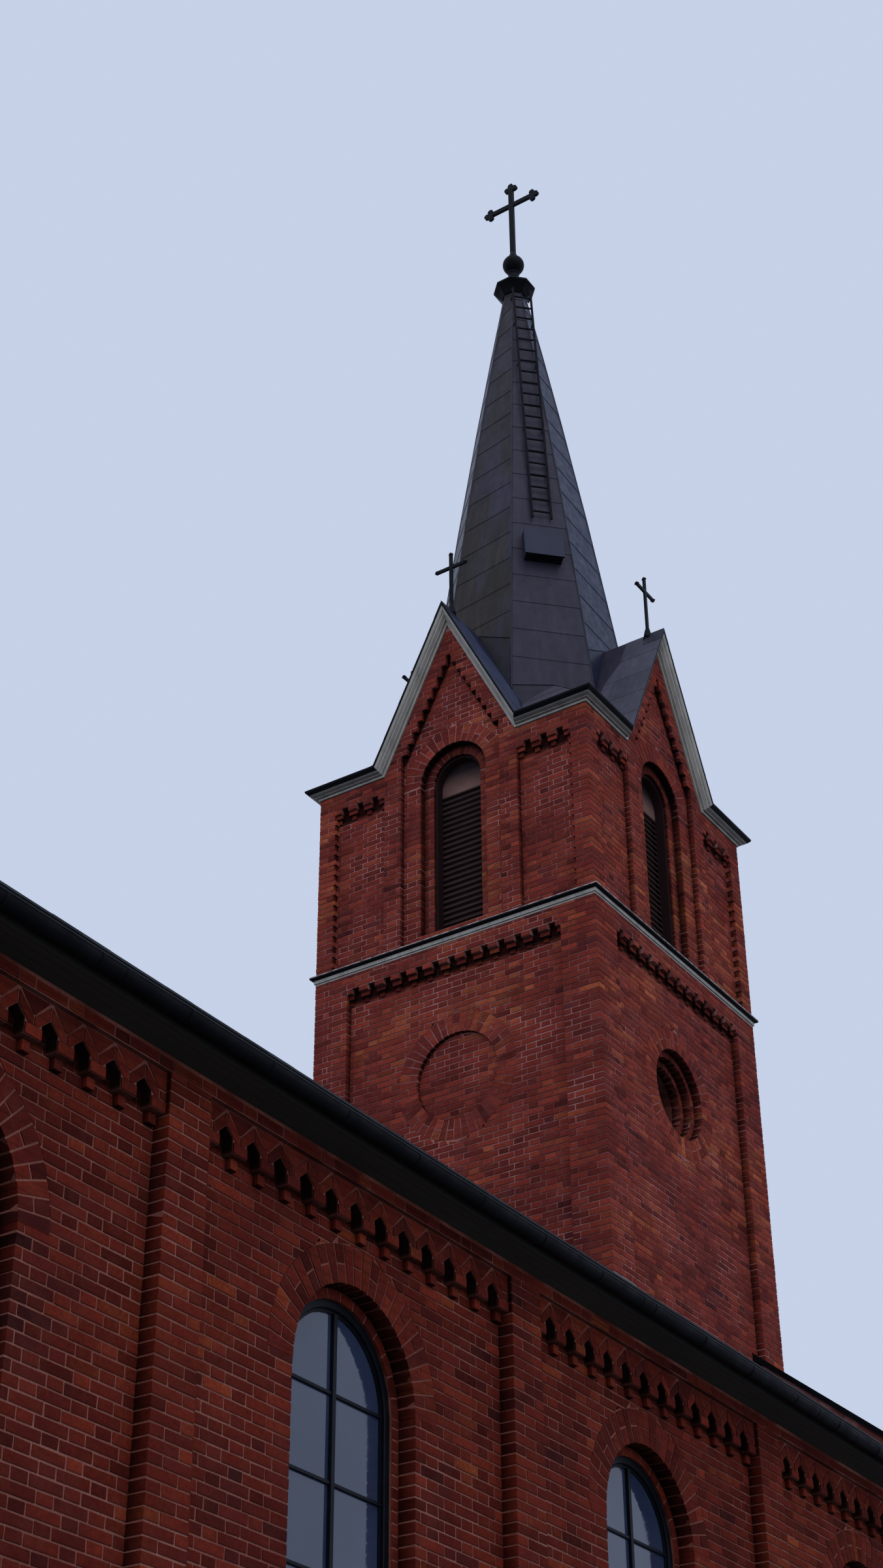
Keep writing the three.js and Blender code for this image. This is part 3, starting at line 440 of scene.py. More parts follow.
def block_mesh(name, groups, made, warm=0.5, spread=0.2, corners=()):
    """One mesh of separate blocks of eight corners. Its colour attribute holds, for each block,
    its lightness and its warmth, in blue 1 at the back corners of a shallow block, and in alpha a
    painted shade that darkens the back corners of a deep one."""
    points = np.concatenate([*groups, *corners])
    count = len(points)
    mesh = bpy.data.meshes.new(name)
    mesh.from_pydata(points.reshape(-1, 3).tolist(), [], block_faces(count).tolist())
    tones = np.ones((count, 8, 4), np.float32)
    tones[..., 0] = np.clip(rng.normal(0.5, 0.2, (count, 1)), 0, 1)
    tones[..., 1] = np.clip(rng.normal(warm, spread, (count, 1)), 0.02, 1)
    flat = sum(len(group) for group in groups)
    shallow = np.linalg.norm(points[:, 0] - points[:, 4], axis=1) < 0.05
    tones[..., 2] = np.where(shallow[:, None], FRONT_BACK, 0)
    # alpha: painted shade, darkest at the back corners of a deep block such as a reveal or a notch's side
    tones[..., 3] = np.where(shallow[:, None], 1, 1 - 0.8 * FRONT_BACK)
    tones[flat:, :, 2:] = np.stack([INNER_EDGE, np.ones(8)], -1)
    mesh.color_attributes.new("tone_and_shade", "FLOAT_COLOR", "POINT").data.foreach_set("color", tones.ravel())
    return placed(name, mesh, made)


def quoins(corner, along, low, high):
    """Corner bricks, long on one face and short on the other by turns. corner is the plan corner,
    along the direction of the face to its right; the other face runs along the turned direction."""
    course = np.arange(np.floor(low / COURSE), np.ceil(high / COURSE))
    edge = JOINT / 2 + WORN / 2
    foot = np.maximum(course * COURSE + edge, low)
    top = np.minimum((course + 1) * COURSE - edge, high)
    even = course % 2 == 0
    ahead = np.where(even, LONG, SHORT)[:, None] - WORN / 2
    aside = np.where(even, SHORT, LONG)[:, None] - WORN / 2
    out = PROUD + rng.uniform(-0.0014, 0.0014, (len(course), 1))
    along = np.array(along, float)
    away = np.array([-along[1], along[0]])
    start = np.array(corner)
    plan = np.stack([start - out * along - out * away, start + ahead * along - out * away,
                     start + ahead * along + aside * away, start - out * along + aside * away], 1)
    rings = [np.concatenate([plan, np.broadcast_to(z[:, None, None], (len(z), 4, 1))], 2)
             for z in (foot, top)]
    return np.concatenate(rings, axis=1)


def between_quoins(bricks, left, right, reach=0.0):
    """Bricks of a face that lie between its corner bricks."""
    even = np.floor(bricks[4] / COURSE) % 2 == 0
    start = left + np.where(even, LONG, SHORT) + JOINT
    end = right - np.where(even, SHORT, LONG) - JOINT
    return trimmed(bricks, np.where(np.isfinite(start), start, -FAR), end, reach)


NAVE_REAR = -9.6155
NAVE_FRONT = 9.3685
HALF_WIDTH = 5.255
BAY = 3.834
PILASTER = 0.38
PANEL_DEPTH = 0.12
PANEL_FOOT = 0.9
WALL_TOP = 8.08
BAND_FOOT = 7.71        # the frieze's foot, and the shadow line above it
BAND_TOP = 7.98
BAND_SET = 0.035        # the frieze stands this far behind the pilasters
FRIEZE_PITCH = 0.277
FRIEZE_GAP = 0.138
NOTCH_SHOULDER = 7.81
NOTCH_POINT = 7.87
WINDOW_ORDER = 0.677
WINDOW_RADIUS = 0.604
ORDER_DEPTH = 0.13
SILL = 2.3
SPRING = 6.67
ARCH_BRICK = 0.252
ARCH_COUNT = 27
INNER_COUNT = 14
PIER_RISE = 0.072
LEAN_WIDE = 0.066       # width of the leaning bricks
WEDGE_GAP = 0.012
TIP_HALF = 0.01         # half width of the point of a wedge
CORBEL_HALF = 0.036
CORBEL_DROP = 0.078
CORBEL_OUT = 0.045      # the lower corbels and the sills stand this far out of the panel
SILL_HALF = 0.033
SILL_DROP = 0.118
SILL_RISE = 0.012
SEAM = 0.004            # half a thin joint between the corbels
BAND_JOINT = 0.006
UNEVEN = 0.0015


def box(left, right, low, high):
    """Corners of an upright rectangle, from lower left round to upper left."""
    return [(left, low), (right, low), (right, high), (left, high)]


def row_of(first, pitch, count, corners):
    """The same outline repeated count times along a face."""
    steps = np.stack([first + pitch * np.arange(count), np.zeros(count)], -1)
    return np.array(corners, float)[None] + steps[:, None]


def pointed_frieze(face, left, right):
    """Corbel frieze of one panel: square piers, two leaning bricks over each notch, a wedge above
    each pier, and a smaller set-back corbel below each pier."""
    count = int((right - left) / FRIEZE_PITCH)
    first = (left + right) / 2 - (count - 1) / 2 * FRIEZE_PITCH
    half = (FRIEZE_PITCH - FRIEZE_GAP) / 2
    gap = FRIEZE_GAP / 2
    slope = (NOTCH_POINT - NOTCH_SHOULDER) / gap
    rise = LEAN_WIDE * np.hypot(1, slope)
    outer = FRIEZE_PITCH / 2 - SEAM
    pier_foot = BAND_FOOT + 0.001
    pier = box(-half, half, pier_foot, pier_foot + PIER_RISE)
    apex, low = NOTCH_POINT, NOTCH_POINT - slope * outer
    left_lean = [(-outer, low), (-SEAM, apex), (-SEAM, apex + rise), (-outer, low + rise)]
    right_lean = [(-u, v) for u, v in np.array(left_lean)[[1, 0, 3, 2]]]
    top = BAND_TOP - BAND_JOINT
    wedge_tip = low + rise + WEDGE_GAP
    reach = min((top - wedge_tip) / slope, outer - 0.01)
    wedge = [(-TIP_HALF, wedge_tip), (TIP_HALF, wedge_tip), (reach, top), (-reach, top)]
    corbel = box(-CORBEL_HALF, CORBEL_HALF, BAND_FOOT - CORBEL_DROP, BAND_FOOT - SEAM)
    piers = first - FRIEZE_PITCH / 2
    side = piers - left - SEAM
    ends = np.array([box(-side, -0.005, pier_foot + 0.08, low + rise),
                     [(-side, wedge_tip), (TIP_HALF, wedge_tip), (reach, top), (-side, top)]])
    mirrored = ends[:, ::-1] * (-1, 1)
    fillers = np.concatenate([ends + (piers, 0), mirrored + (piers + count * FRIEZE_PITCH, 0)])
    back, front = -PANEL_DEPTH - 2 * PROUD, -BAND_SET + PROUD
    uneven = rng.uniform(-UNEVEN, UNEVEN, count)
    more = rng.uniform(-UNEVEN, UNEVEN, count + 1)
    return [
        blocks(face, row_of(piers, FRIEZE_PITCH, count + 1, pier), back, front + 0.003 + more),
        blocks(face, row_of(first, FRIEZE_PITCH, count, left_lean), back, front + uneven),
        blocks(face, row_of(first, FRIEZE_PITCH, count, right_lean), back, front - uneven),
        blocks(face, row_of(piers + FRIEZE_PITCH, FRIEZE_PITCH, count - 1, wedge), back, front - 0.002),
        blocks(face, row_of(piers, FRIEZE_PITCH, count + 1, corbel), back, -PANEL_DEPTH + CORBEL_OUT + more),
        blocks(face, fillers, back, front),
    ]


def window_surround(face, centre, panel):
    """Arch ring, jamb order and sill of a nave window; panel is the depth of the panel's plane."""
    order = panel - ORDER_DEPTH
    ring = arch_ring(centre, SPRING, WINDOW_ORDER, ARCH_BRICK, ARCH_COUNT)
    strip = WINDOW_ORDER - WINDOW_RADIUS + 2 * PROUD
    inner = arch_ring(centre, SPRING, WINDOW_RADIUS, strip, INNER_COUNT, split=False)
    foot = np.arange(SILL, SPRING - 0.03, COURSE)
    top = np.minimum(foot + COURSE - JOINT / 2, SPRING)
    jambs = [upright(a, a + strip, foot + JOINT / 2, top, 2 * PROUD)
             for a in (centre - WINDOW_ORDER - PROUD, centre + WINDOW_RADIUS - PROUD)]
    sill = row_of(centre - WINDOW_ORDER + 0.04, COURSE, int(2 * WINDOW_ORDER / COURSE),
                  box(-SILL_HALF, SILL_HALF, SILL - SILL_DROP, SILL + SILL_RISE))
    return [
        blocks(face, ring, order, fronts(panel, len(ring))),
        blocks(face, inner, order - 2 * PROUD, order + PROUD / 2, 0.001),
        blocks(face, outlines(np.concatenate(jambs, axis=1)), order - 2 * PROUD, order + PROUD / 2, 0.001),
        blocks(face, sill, order, panel + CORBEL_OUT),
    ]


def panel_bay(face, left, right, window=True):
    """Brickwork of one recessed panel with its frieze, and with a window unless it is blank."""
    bricks = lay(left, right, PANEL_FOOT, NOTCH_POINT, first=left)
    groups = pointed_frieze(face, left, right)
    if window:
        centre = (left + right) / 2
        bricks = around(bricks, centre, arched(WINDOW_ORDER, SILL, SPRING, ARCH_BRICK), ORDER_DEPTH)
        groups += window_surround(face, centre, -PANEL_DEPTH)
    return groups + [brickwork(face, bricks, -PANEL_DEPTH)]


bay_starts = NAVE_REAR + BAY * np.arange(5)
bay_ends = np.append(bay_starts[1:], NAVE_FRONT - PILASTER)
bays = list(zip(bay_starts + PILASTER, bay_ends))
UP = (0, 0, 1)


def plinth(face, left, right, ends):
    """Brickwork below the panels, whose top course reaches back to them, between the corner bricks
    at a wall's ends."""
    rows = lay(left, right, 0, PANEL_FOOT)
    rows[6] = np.where(rows[5] > PANEL_FOOT - COURSE, PANEL_DEPTH, rows[6])
    return brickwork(face, between_quoins(rows, *ends))


def pilaster(face, left, right):
    """A pilaster strip: its bricks reach back to the panels on both sides."""
    rows = lay(left - PROUD, right + PROUD, PANEL_FOOT, BAND_TOP, PANEL_DEPTH, left, SHORT + JOINT)
    return brickwork(face, rows)


def end_pilaster(face, left, right, ends):
    """A strip at a wall's end, or at the tower, between the corner bricks at the wall's ends."""
    rows = lay(left, right, PANEL_FOOT, BAND_TOP, PANEL_DEPTH, first=left)
    return brickwork(face, between_quoins(rows, *ends, PANEL_DEPTH))


def nave_side(face, panels, left, right):
    """Brickwork of a whole side wall. The first and last pilasters end in corner bricks."""
    groups = [group for a, b in panels for group in panel_bay(face, a, b)]
    groups.append(plinth(face, left, right, (left, right)))
    edges = [left] + [x for pair in panels for x in pair] + [right]
    strips = list(zip(edges[::2], edges[1::2]))
    groups += [pilaster(face, a, b) for a, b in strips[1:-1]]
    groups += [end_pilaster(face, a, b, (left, right)) for a, b in (strips[0], strips[-1])]
    groups.append(brickwork(face, lay(left, right, BAND_TOP + BAND_JOINT, WALL_TOP, BAND_SET, base=BAND_TOP)))
    return groups


left_face = ((0, -HALF_WIDTH, 0), (1, 0, 0), UP)
right_face = ((0, HALF_WIDTH, 0), (-1, 0, 0), UP)
groups = nave_side(left_face, bays, NAVE_REAR, NAVE_FRONT)
corners = [quoins((NAVE_FRONT, -HALF_WIDTH), (0, 1), 0, BAND_TOP)]
nave_left_bricks = block_mesh("nave_left_bricks", groups, brick, corners=corners)
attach(nave_left_bricks, "root")
groups = nave_side(right_face, [(-b, -a) for a, b in reversed(bays)], -NAVE_FRONT, -NAVE_REAR)
corners = [quoins((NAVE_FRONT, HALF_WIDTH), (-1, 0), 0, BAND_TOP)]
nave_right_bricks = block_mesh("nave_right_bricks", groups, brick, corners=corners)
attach(nave_right_bricks, "root")


# Rear gable. The same brickwork with three windowed panels, and a blind roundel in a ring of
# arch bricks in the gable above, under the coping.
ROUNDEL_RADIUS = 0.575
ROUNDEL_DEPTH = 0.06
ROUNDEL_RING = 0.25
RING_COUNT = 46
REAR_ROUNDEL_Z = 10.2
NAVE_INNER = 4.675
EAVES_OUTER = 5.5
SLOPE = 0.8
ROOF_EDGE = (5.56, 8.242)
PARAPET_RISE = 0.19
GABLE_TOP = 12.9


def gable_rows():
    """Bricks of a nave gable above its frieze, under the parapet's slope: |u| < roof edge - (z - rise
    - roof edge's height) / slope. They leave out the shoulders, where the side walls' eaves start."""
    rows = lay(-EAVES_OUTER, EAVES_OUTER, BAND_TOP + BAND_JOINT, GABLE_TOP, BAND_SET, base=BAND_TOP)
    limit = ROOF_EDGE[0] - (rows[4:6] - PARAPET_RISE - ROOF_EDGE[1]) / SLOPE
    limit = np.clip(limit, 0.0, EAVES_OUTER)
    rows = trimmed(rows, -limit, limit)
    shoulder = (rows[4] < WALL_TOP) & (np.maximum(np.abs(rows[0]), np.abs(rows[1])) > HALF_WIDTH)
    return rows[:, ~shoulder]


def roundel(face, z, depth, floor):
    """Ring of arch bricks round a blind roundel, and the brickwork of its floor."""
    ring = arch_ring(0, z, ROUNDEL_RADIUS, ROUNDEL_RING, RING_COUNT, 0, 2 * np.pi)
    bricks = lay(-ROUNDEL_RADIUS, ROUNDEL_RADIUS, z - ROUNDEL_RADIUS, z + ROUNDEL_RADIUS)
    chord = np.sqrt(np.clip(ROUNDEL_RADIUS ** 2 - (bricks[4:6] - z) ** 2, 0, None))
    return [
        blocks(face, ring, floor, fronts(depth, len(ring))),
        brickwork(face, trimmed(bricks, -chord, chord), floor),
    ]


rear_face = ((NAVE_REAR, 0, 0), (0, -1, 0), UP)
wall_ends = (-HALF_WIDTH, HALF_WIDTH)
panel_width = (2 * NAVE_INNER - 2 * PILASTER) / 3
panel_middles = [i * (panel_width + PILASTER) for i in (-1, 0, 1)]
rear_panels = [(middle - panel_width / 2, middle + panel_width / 2) for middle in panel_middles]
groups = [group for a, b in rear_panels for group in panel_bay(rear_face, a, b)]
groups.append(plinth(rear_face, *wall_ends, wall_ends))
groups += [pilaster(rear_face, a, b) for (_, a), (b, _) in zip(rear_panels[:-1], rear_panels[1:])]
for a, b in ((-HALF_WIDTH, rear_panels[0][0]), (rear_panels[2][1], HALF_WIDTH)):
    groups.append(end_pilaster(rear_face, a, b, wall_ends))
gable = around(gable_rows(), 0, round_hole(REAR_ROUNDEL_Z, ROUNDEL_RADIUS + ROUNDEL_RING))
groups.append(brickwork(rear_face, gable))
groups += roundel(rear_face, REAR_ROUNDEL_Z, 0, -ROUNDEL_DEPTH)
corners = [quoins((NAVE_REAR, -HALF_WIDTH), (1, 0), 0, BAND_TOP),
           quoins((NAVE_REAR, HALF_WIDTH), (0, -1), 0, BAND_TOP)]
rear_gable_bricks = block_mesh("rear_gable_bricks", groups, brick, corners=corners)
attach(rear_gable_bricks, "root")


# Front gable, in two halves beside the tower, each with one blank recessed panel under the same
# frieze, and the raking parapet above.
FRONT_MARGIN = 0.3


def straight(half):
    """Half width of an opening with upright sides."""
    return lambda heights, middle: np.full(heights.shape, half)


front_face = ((NAVE_FRONT, 0, 0), (0, 1, 0), UP)
blank = (TOWER_HALF + FRONT_MARGIN, NAVE_INNER - FRONT_MARGIN)
groups = []
for a, b in ((-blank[1], -blank[0]), blank):
    groups += panel_bay(front_face, a, b, window=False)
    outer, inner = (-HALF_WIDTH, -TOWER_HALF) if a < 0 else (TOWER_HALF, HALF_WIDTH)
    groups.append(plinth(front_face, outer, inner, wall_ends))
    groups += [end_pilaster(front_face, *strip, wall_ends) for strip in ((outer, a), (b, inner))]
groups.append(brickwork(front_face, around(gable_rows(), 0, straight(TOWER_HALF))))
front_gable_bricks = block_mesh("front_gable_bricks", groups, brick)
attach(front_gable_bricks, "root")


# Tower shaft. Recessed panels under a frieze of square teeth, blind roundels in front and rear,
# and to the sides round openings in three stepped rings. In front is the arched portal.
BELT_FOOT = 15.98
TOWER_PANEL = 1.56
TOWER_PANEL_DEPTH = 0.1
PANEL_FEET = {"left": 10.6, "front": 5.0, "right": 10.6, "rear": 10.6}
TEETH_PITCH = 0.238
TEETH_GAP = 0.105
TEETH_FOOT = 15.71
TEETH_TOP = 15.78
TEETH_COUNT = 13
TOOTH_UPPER = 0.058         # height of the part of a corbel that stands out further
CORBEL_FOOT = 0.13          # foot of a corbel below the teeth
CORBEL_SHARE = 0.55         # width of a corbel's lower part, as a share of its tooth
ROUNDEL_Z = 14.2
OCULUS_RADII = (0.575, 0.5, 0.425)
OCULUS_STEP = 0.11
DOOR_RADIUS = 0.8
PORTAL_RADIUS = 0.98
PORTAL_DEPTH = 0.15
DOOR_SPRING = 2.5
DOOR_REVEAL = 0.12
PORTAL_COUNT = 39
DOOR_COUNT = 33
SHAFT_LOW = {"left": 8.3, "front": 0.0, "right": 8.3, "rear": 10.4}


def toothed_frieze(face, middle, half, count, foot, top, panel):
    """Square teeth between notches, and under each tooth a smaller corbel that stands half as far
    out of the panel, which ends at half from its middle and lies at depth panel."""
    tooth = (TEETH_PITCH - TEETH_GAP) / 2
    first = middle - count / 2 * TEETH_PITCH
    back = panel - 2 * PROUD
    upper_foot = foot - SEAM - TOOTH_UPPER
    small = tooth * CORBEL_SHARE
    teeth, corbels, uppers = (row_of(first, TEETH_PITCH, count + 1, corners) for corners in (
        box(-tooth, tooth, foot, top - SEAM),
        box(-small, small, foot - CORBEL_FOOT, upper_foot - SEAM),
        box(-tooth, tooth, upper_foot, foot - SEAM)))
    ends = np.array([box(middle - half, first + tooth, foot, top - SEAM),
                     box(2 * middle - first - tooth, middle + half, foot, top - SEAM)])
    return [
        blocks(face, teeth[1:count], back, fronts(0, count - 1)),
        blocks(face, ends, back, PROUD),
        blocks(face, uppers, back, panel + 0.055),
        blocks(face, corbels, back, panel + 0.028),
    ]


def turned(point, quarter):
    """A plan point about the tower's axis, turned by a number of right angles."""
    x, y = point
    for _ in range(quarter % 4):
        x, y = -y, x
    return x, y


def tower_face(quarter):
    """The face frame of one side of the tower: its middle, the way along it, and up."""
    x, y = turned((0, -TOWER_HALF), quarter)
    return ((AXIS + x, y, 0), (*turned((1, 0), quarter), 0), UP)


def tower_corner(quarter, low, high):
    """Corner bricks at the left end of a side of the tower."""
    corner = np.array(turned((-TOWER_HALF, -TOWER_HALF), quarter)) + (AXIS, 0)
    return quoins(corner, turned((1, 0), quarter), low, high)


def both_jambs(face, rows, depth):
    """Brickwork of the right jamb of an opening and of the left one, its mirror image."""
    mirror = rows.copy()
    mirror[:4] = -rows[[1, 0, 3, 2]]
    return [brickwork(face, rows, depth), brickwork(face, mirror, depth)]


groups, corners = [], []
for quarter, side in enumerate(SIDES):
    face = tower_face(quarter)
    foot, low = PANEL_FEET[side], SHAFT_LOW[side]
    outer = lay(-TOWER_HALF, TOWER_HALF, low, BELT_FOOT, first=-TOWER_HALF)
    outer = between_quoins(outer, -TOWER_HALF, TOWER_HALF)
    if side == "front":
        outer = around(outer, 0, arched(PORTAL_RADIUS, 0.0, DOOR_SPRING, ARCH_BRICK), PORTAL_DEPTH)
        ring = arch_ring(0, DOOR_SPRING, PORTAL_RADIUS, ARCH_BRICK, PORTAL_COUNT)
        inner = arch_ring(0, DOOR_SPRING, DOOR_RADIUS, PORTAL_RADIUS - DOOR_RADIUS, DOOR_COUNT, split=False)
        jamb = lay(DOOR_RADIUS - PROUD, PORTAL_RADIUS, 0, DOOR_SPRING, DOOR_REVEAL, first=DOOR_RADIUS)
        groups.append(blocks(face, ring, -PORTAL_DEPTH, PROUD))
        groups.append(blocks(face, inner, -PORTAL_DEPTH - DOOR_REVEAL, -PORTAL_DEPTH + PROUD))
        groups += both_jambs(face, jamb, -PORTAL_DEPTH)
    in_panel = (outer[4] > foot - COURSE / 2) & (outer[5] < TEETH_TOP + COURSE / 2)
    sides = around(outer[:, in_panel], 0, straight(TOWER_PANEL - PROUD), TOWER_PANEL_DEPTH)
    groups.append(brickwork(face, np.concatenate([outer[:, ~in_panel], sides], axis=1)))
    panel = lay(-TOWER_PANEL, TOWER_PANEL, max(foot, low), TEETH_TOP, first=-TOWER_PANEL)
    hole = around(panel, 0, round_hole(ROUNDEL_Z, ROUNDEL_RADIUS + ROUNDEL_RING))
    groups.append(brickwork(face, hole, -TOWER_PANEL_DEPTH))
    groups += toothed_frieze(face, 0, TOWER_PANEL - PROUD - JOINT, TEETH_COUNT, TEETH_FOOT, TEETH_TOP,
                             -TOWER_PANEL_DEPTH)
    if side in ("front", "rear"):
        groups += roundel(face, ROUNDEL_Z, -TOWER_PANEL_DEPTH, -TOWER_PANEL_DEPTH - ROUNDEL_DEPTH)
    else:
        for order, radius in enumerate(OCULUS_RADII):
            length = ROUNDEL_RING if order == 0 else OCULUS_RADII[order - 1] - radius + PROUD
            near = -TOWER_PANEL_DEPTH - order * OCULUS_STEP
            count = RING_COUNT - 6 * order
            ring = arch_ring(0, ROUNDEL_Z, radius, length, count, 0, 2 * np.pi, split=order == 0)
            groups.append(blocks(face, ring, near - OCULUS_STEP, near + PROUD))
    corners.append(tower_corner(quarter, min(low, SHAFT_LOW[SIDES[quarter - 1]]), BELT_FOOT))
tower_bricks = block_mesh("tower_bricks", groups, brick, 0.6, corners=corners)
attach(tower_bricks, "root")


# Belfry. Each face has two narrow side panels under teeth and a middle panel whose head climbs
# to the gable's point in small steps, round an arched opening in two orders.
BELT_TOP = 16.1
EAVES_Z = 18.79
GABLE_FOOT = 1.01
GABLE_APEX = 20.88
BELFRY_PANEL_DEPTH = 0.08
SIDE_PANEL = (1.01, 1.81)
SIDE_TEETH_FOOT = 18.48
SIDE_TEETH_TOP = 18.555
SIDE_TEETH_COUNT = 3
CENTRE_PANEL = 0.76
STAIR_GOING = 0.0775
STAIR_RISE = 0.1515
STAIR_TOP = 20.4
STAIR_STEPS = 9
BELL_ORDER = 0.505
BELL_ORDER_DEPTH = 0.1
BELL_RADIUS = 0.362
BELL_COUNT = 19
BELL_INNER_COUNT = 15
BELL_SILL = 16.25
LOUVRE_SETBACK = 0.155      # from the order's face


def under_gable(bricks):
    """Bricks cut to a belfry gable: |u| < foot (apex - z) / (apex - eaves) above the eaves."""
    heights = bricks[4:6]
    rake = GABLE_FOOT * (GABLE_APEX - heights) / (GABLE_APEX - EAVES_Z)
    limit = np.where(heights < EAVES_Z, FAR, np.maximum(rake, 0.0))
    return trimmed(bricks, -limit, limit)


def stepped(heights, middle):
    """Half width of the middle panel: full up to the stairs, then one going less for each rise."""
    step = np.ceil((STAIR_TOP - middle) / STAIR_RISE) - 1
    half = np.where(step >= STAIR_STEPS, CENTRE_PANEL, (step + 0.5) * STAIR_GOING)
    half = np.where(middle > STAIR_TOP, 0, half) - PROUD * (middle < STAIR_TOP)
    return np.broadcast_to(half, heights.shape)


groups, corners = [], []
side_middle = (SIDE_PANEL[0] + SIDE_PANEL[1]) / 2
side_half = (SIDE_PANEL[1] - SIDE_PANEL[0]) / 2 - PROUD
for quarter in range(4):
    face = tower_face(quarter)
    shell = under_gable(lay(-TOWER_HALF, TOWER_HALF, BELT_TOP, GABLE_APEX - 0.1, first=-TOWER_HALF))
    below = shell[4] < EAVES_Z - COURSE
    between = between_quoins(shell[:, below], -TOWER_HALF, TOWER_HALF)
    shell = np.concatenate([shell[:, ~below], between], axis=1)
    shell = around(shell, 0, stepped, BELFRY_PANEL_DEPTH)
    in_sides = shell[5] < SIDE_TEETH_TOP + COURSE / 2
    rows = shell[:, in_sides]
    for centre in (-side_middle, side_middle):
        rows = around(rows, centre, straight(side_half), BELFRY_PANEL_DEPTH)
        left = centre - side_half
        panel = lay(left, centre + side_half, BELT_TOP, SIDE_TEETH_TOP, first=left)
        groups.append(brickwork(face, panel, -BELFRY_PANEL_DEPTH))
        groups += toothed_frieze(face, centre, side_half - JOINT, SIDE_TEETH_COUNT, SIDE_TEETH_FOOT,
                                 SIDE_TEETH_TOP, -BELFRY_PANEL_DEPTH)
    groups.append(brickwork(face, np.concatenate([shell[:, ~in_sides], rows], axis=1)))
    rows = lay(-CENTRE_PANEL, CENTRE_PANEL, BELT_TOP, STAIR_TOP, first=-CENTRE_PANEL)
    limit = stepped(rows[4:6], rows[4:6].mean(axis=0))
    rows = trimmed(rows, -limit, limit)
    rows = around(rows, 0, arched(BELL_ORDER, BELL_SILL, BELL_ARCH_Z, ARCH_BRICK), BELL_ORDER_DEPTH)
    groups.append(brickwork(face, rows, -BELFRY_PANEL_DEPTH))
    order = -BELFRY_PANEL_DEPTH - BELL_ORDER_DEPTH
    ring = arch_ring(0, BELL_ARCH_Z, BELL_ORDER, ARCH_BRICK, BELL_COUNT)
    inner = arch_ring(0, BELL_ARCH_Z, BELL_RADIUS, BELL_ORDER - BELL_RADIUS, BELL_INNER_COUNT, split=False)
    jamb = lay(BELL_RADIUS - PROUD, BELL_ORDER + PROUD, BELL_SILL, BELL_ARCH_Z, LOUVRE_SETBACK,
               first=BELL_RADIUS)
    groups.append(blocks(face, ring, order, -BELFRY_PANEL_DEPTH + PROUD))
    groups.append(blocks(face, inner, order - LOUVRE_SETBACK, order + PROUD))
    groups += both_jambs(face, jamb, order)
    corners.append(tower_corner(quarter, BELT_TOP, EAVES_Z))
belfry_bricks = block_mesh("belfry_bricks", groups, brick, 0.62, corners=corners)
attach(belfry_bricks, "root")


# Nave windows. A dark blue steel frame stands close behind the brick order and holds one tall
# sheet of glass, behind a middle bar and thin level bars.
def arch_outline(centre, radius, foot, spring, steps=24):
    """Points of a round-headed outline, from its lower left corner round to the left spring."""
    turn = np.linspace(0, np.pi, steps + 1)
    head = np.stack([centre + radius * np.cos(turn), spring + radius * np.sin(turn)], -1)
    return np.concatenate([[[centre - radius, foot], [centre + radius, foot]], head])


def tube(rings, closed=False):
    """A closed surface through rings of points (sections, around, 3): quads join each ring to the
    next one, and the last ring joins the first one, or both ends are capped."""
    sections, around_count = rings.shape[:2]
    i, j = np.meshgrid(np.arange(sections - (not closed)), np.arange(around_count), indexing="ij")
    beyond, beside = (i + 1) % sections * around_count, (j + 1) % around_count
    quads = np.stack([i * around_count + j, i * around_count + beside, beyond + beside, beyond + j], -1)
    cap = np.arange(around_count)[None]
    caps = [] if closed else [cap, cap + (sections - 1) * around_count]
    return rings.reshape(-1, 3), [quads.reshape(-1, 4), *caps]


def pile(points):
    """Blocks of eight corners as points and faces."""
    return points.reshape(-1, 3), [block_faces(len(points))]


def built(name, parts, made, smooth=None):
    """One object from parts of points and faces. Normals face outwards; smooth is the angle in
    radians below which edges look rounded."""
    count, faces = 0, []
    for points, lists in parts:
        for quads in lists:
            faces += (quads + count).tolist()
        count += len(points)
    mesh = bpy.data.meshes.new(name)
    mesh.from_pydata(np.concatenate([points for points, _ in parts]).tolist(), [], faces)
    work = bmesh.new()
    work.from_mesh(mesh)
    bmesh.ops.recalc_face_normals(work, faces=work.faces)
    work.to_mesh(mesh)
    work.free()
    if smooth:
        mesh.shade_smooth()
        mesh.set_sharp_from_angle(angle=smooth)
    return placed(name, mesh, made)


def bars(face, boxes, back, front, worn):
    """Bars on a face, given as rows of left, right, low, high."""
    return pile(blocks(face, np.array([box(*row) for row in boxes], float), back, front, worn))


FRAME_PROFILE = [(0.001, -0.152), (0.050, -0.152), (0.056, -0.158), (0.056, -0.176), (0.078, -0.176),
                 (0.078, -0.200), (0.001, -0.200)]       # inset from the opening, depth from the panel
BAR_PITCH = 0.57
BAR_COUNT = 8
BAR_HALF = 0.012
POST_HALF = 0.0225
GLASS_INSET = 0.06
GLASS_DEPTHS = (-PANEL_DEPTH - 0.196, -PANEL_DEPTH - 0.188)     # back and front
POST_DEPTHS = (-PANEL_DEPTH - 0.2, -PANEL_DEPTH - 0.162)
BAR_DEPTHS = (-PANEL_DEPTH - 0.199, -PANEL_DEPTH - 0.17)

navy, tree, surface = material("navy_steel", 0.42, 0.1)
clouded(tree, surface, noise(tree, 4, 5.0), (0.002, 0.003, 0.005), (0.006, 0.008, 0.012))
bumped(tree, surface, noise(tree, 60, 3.0), 0.001)
glass, tree, surface = material("window_glass", 0.03)
surface.inputs["IOR"].default_value = 1.65
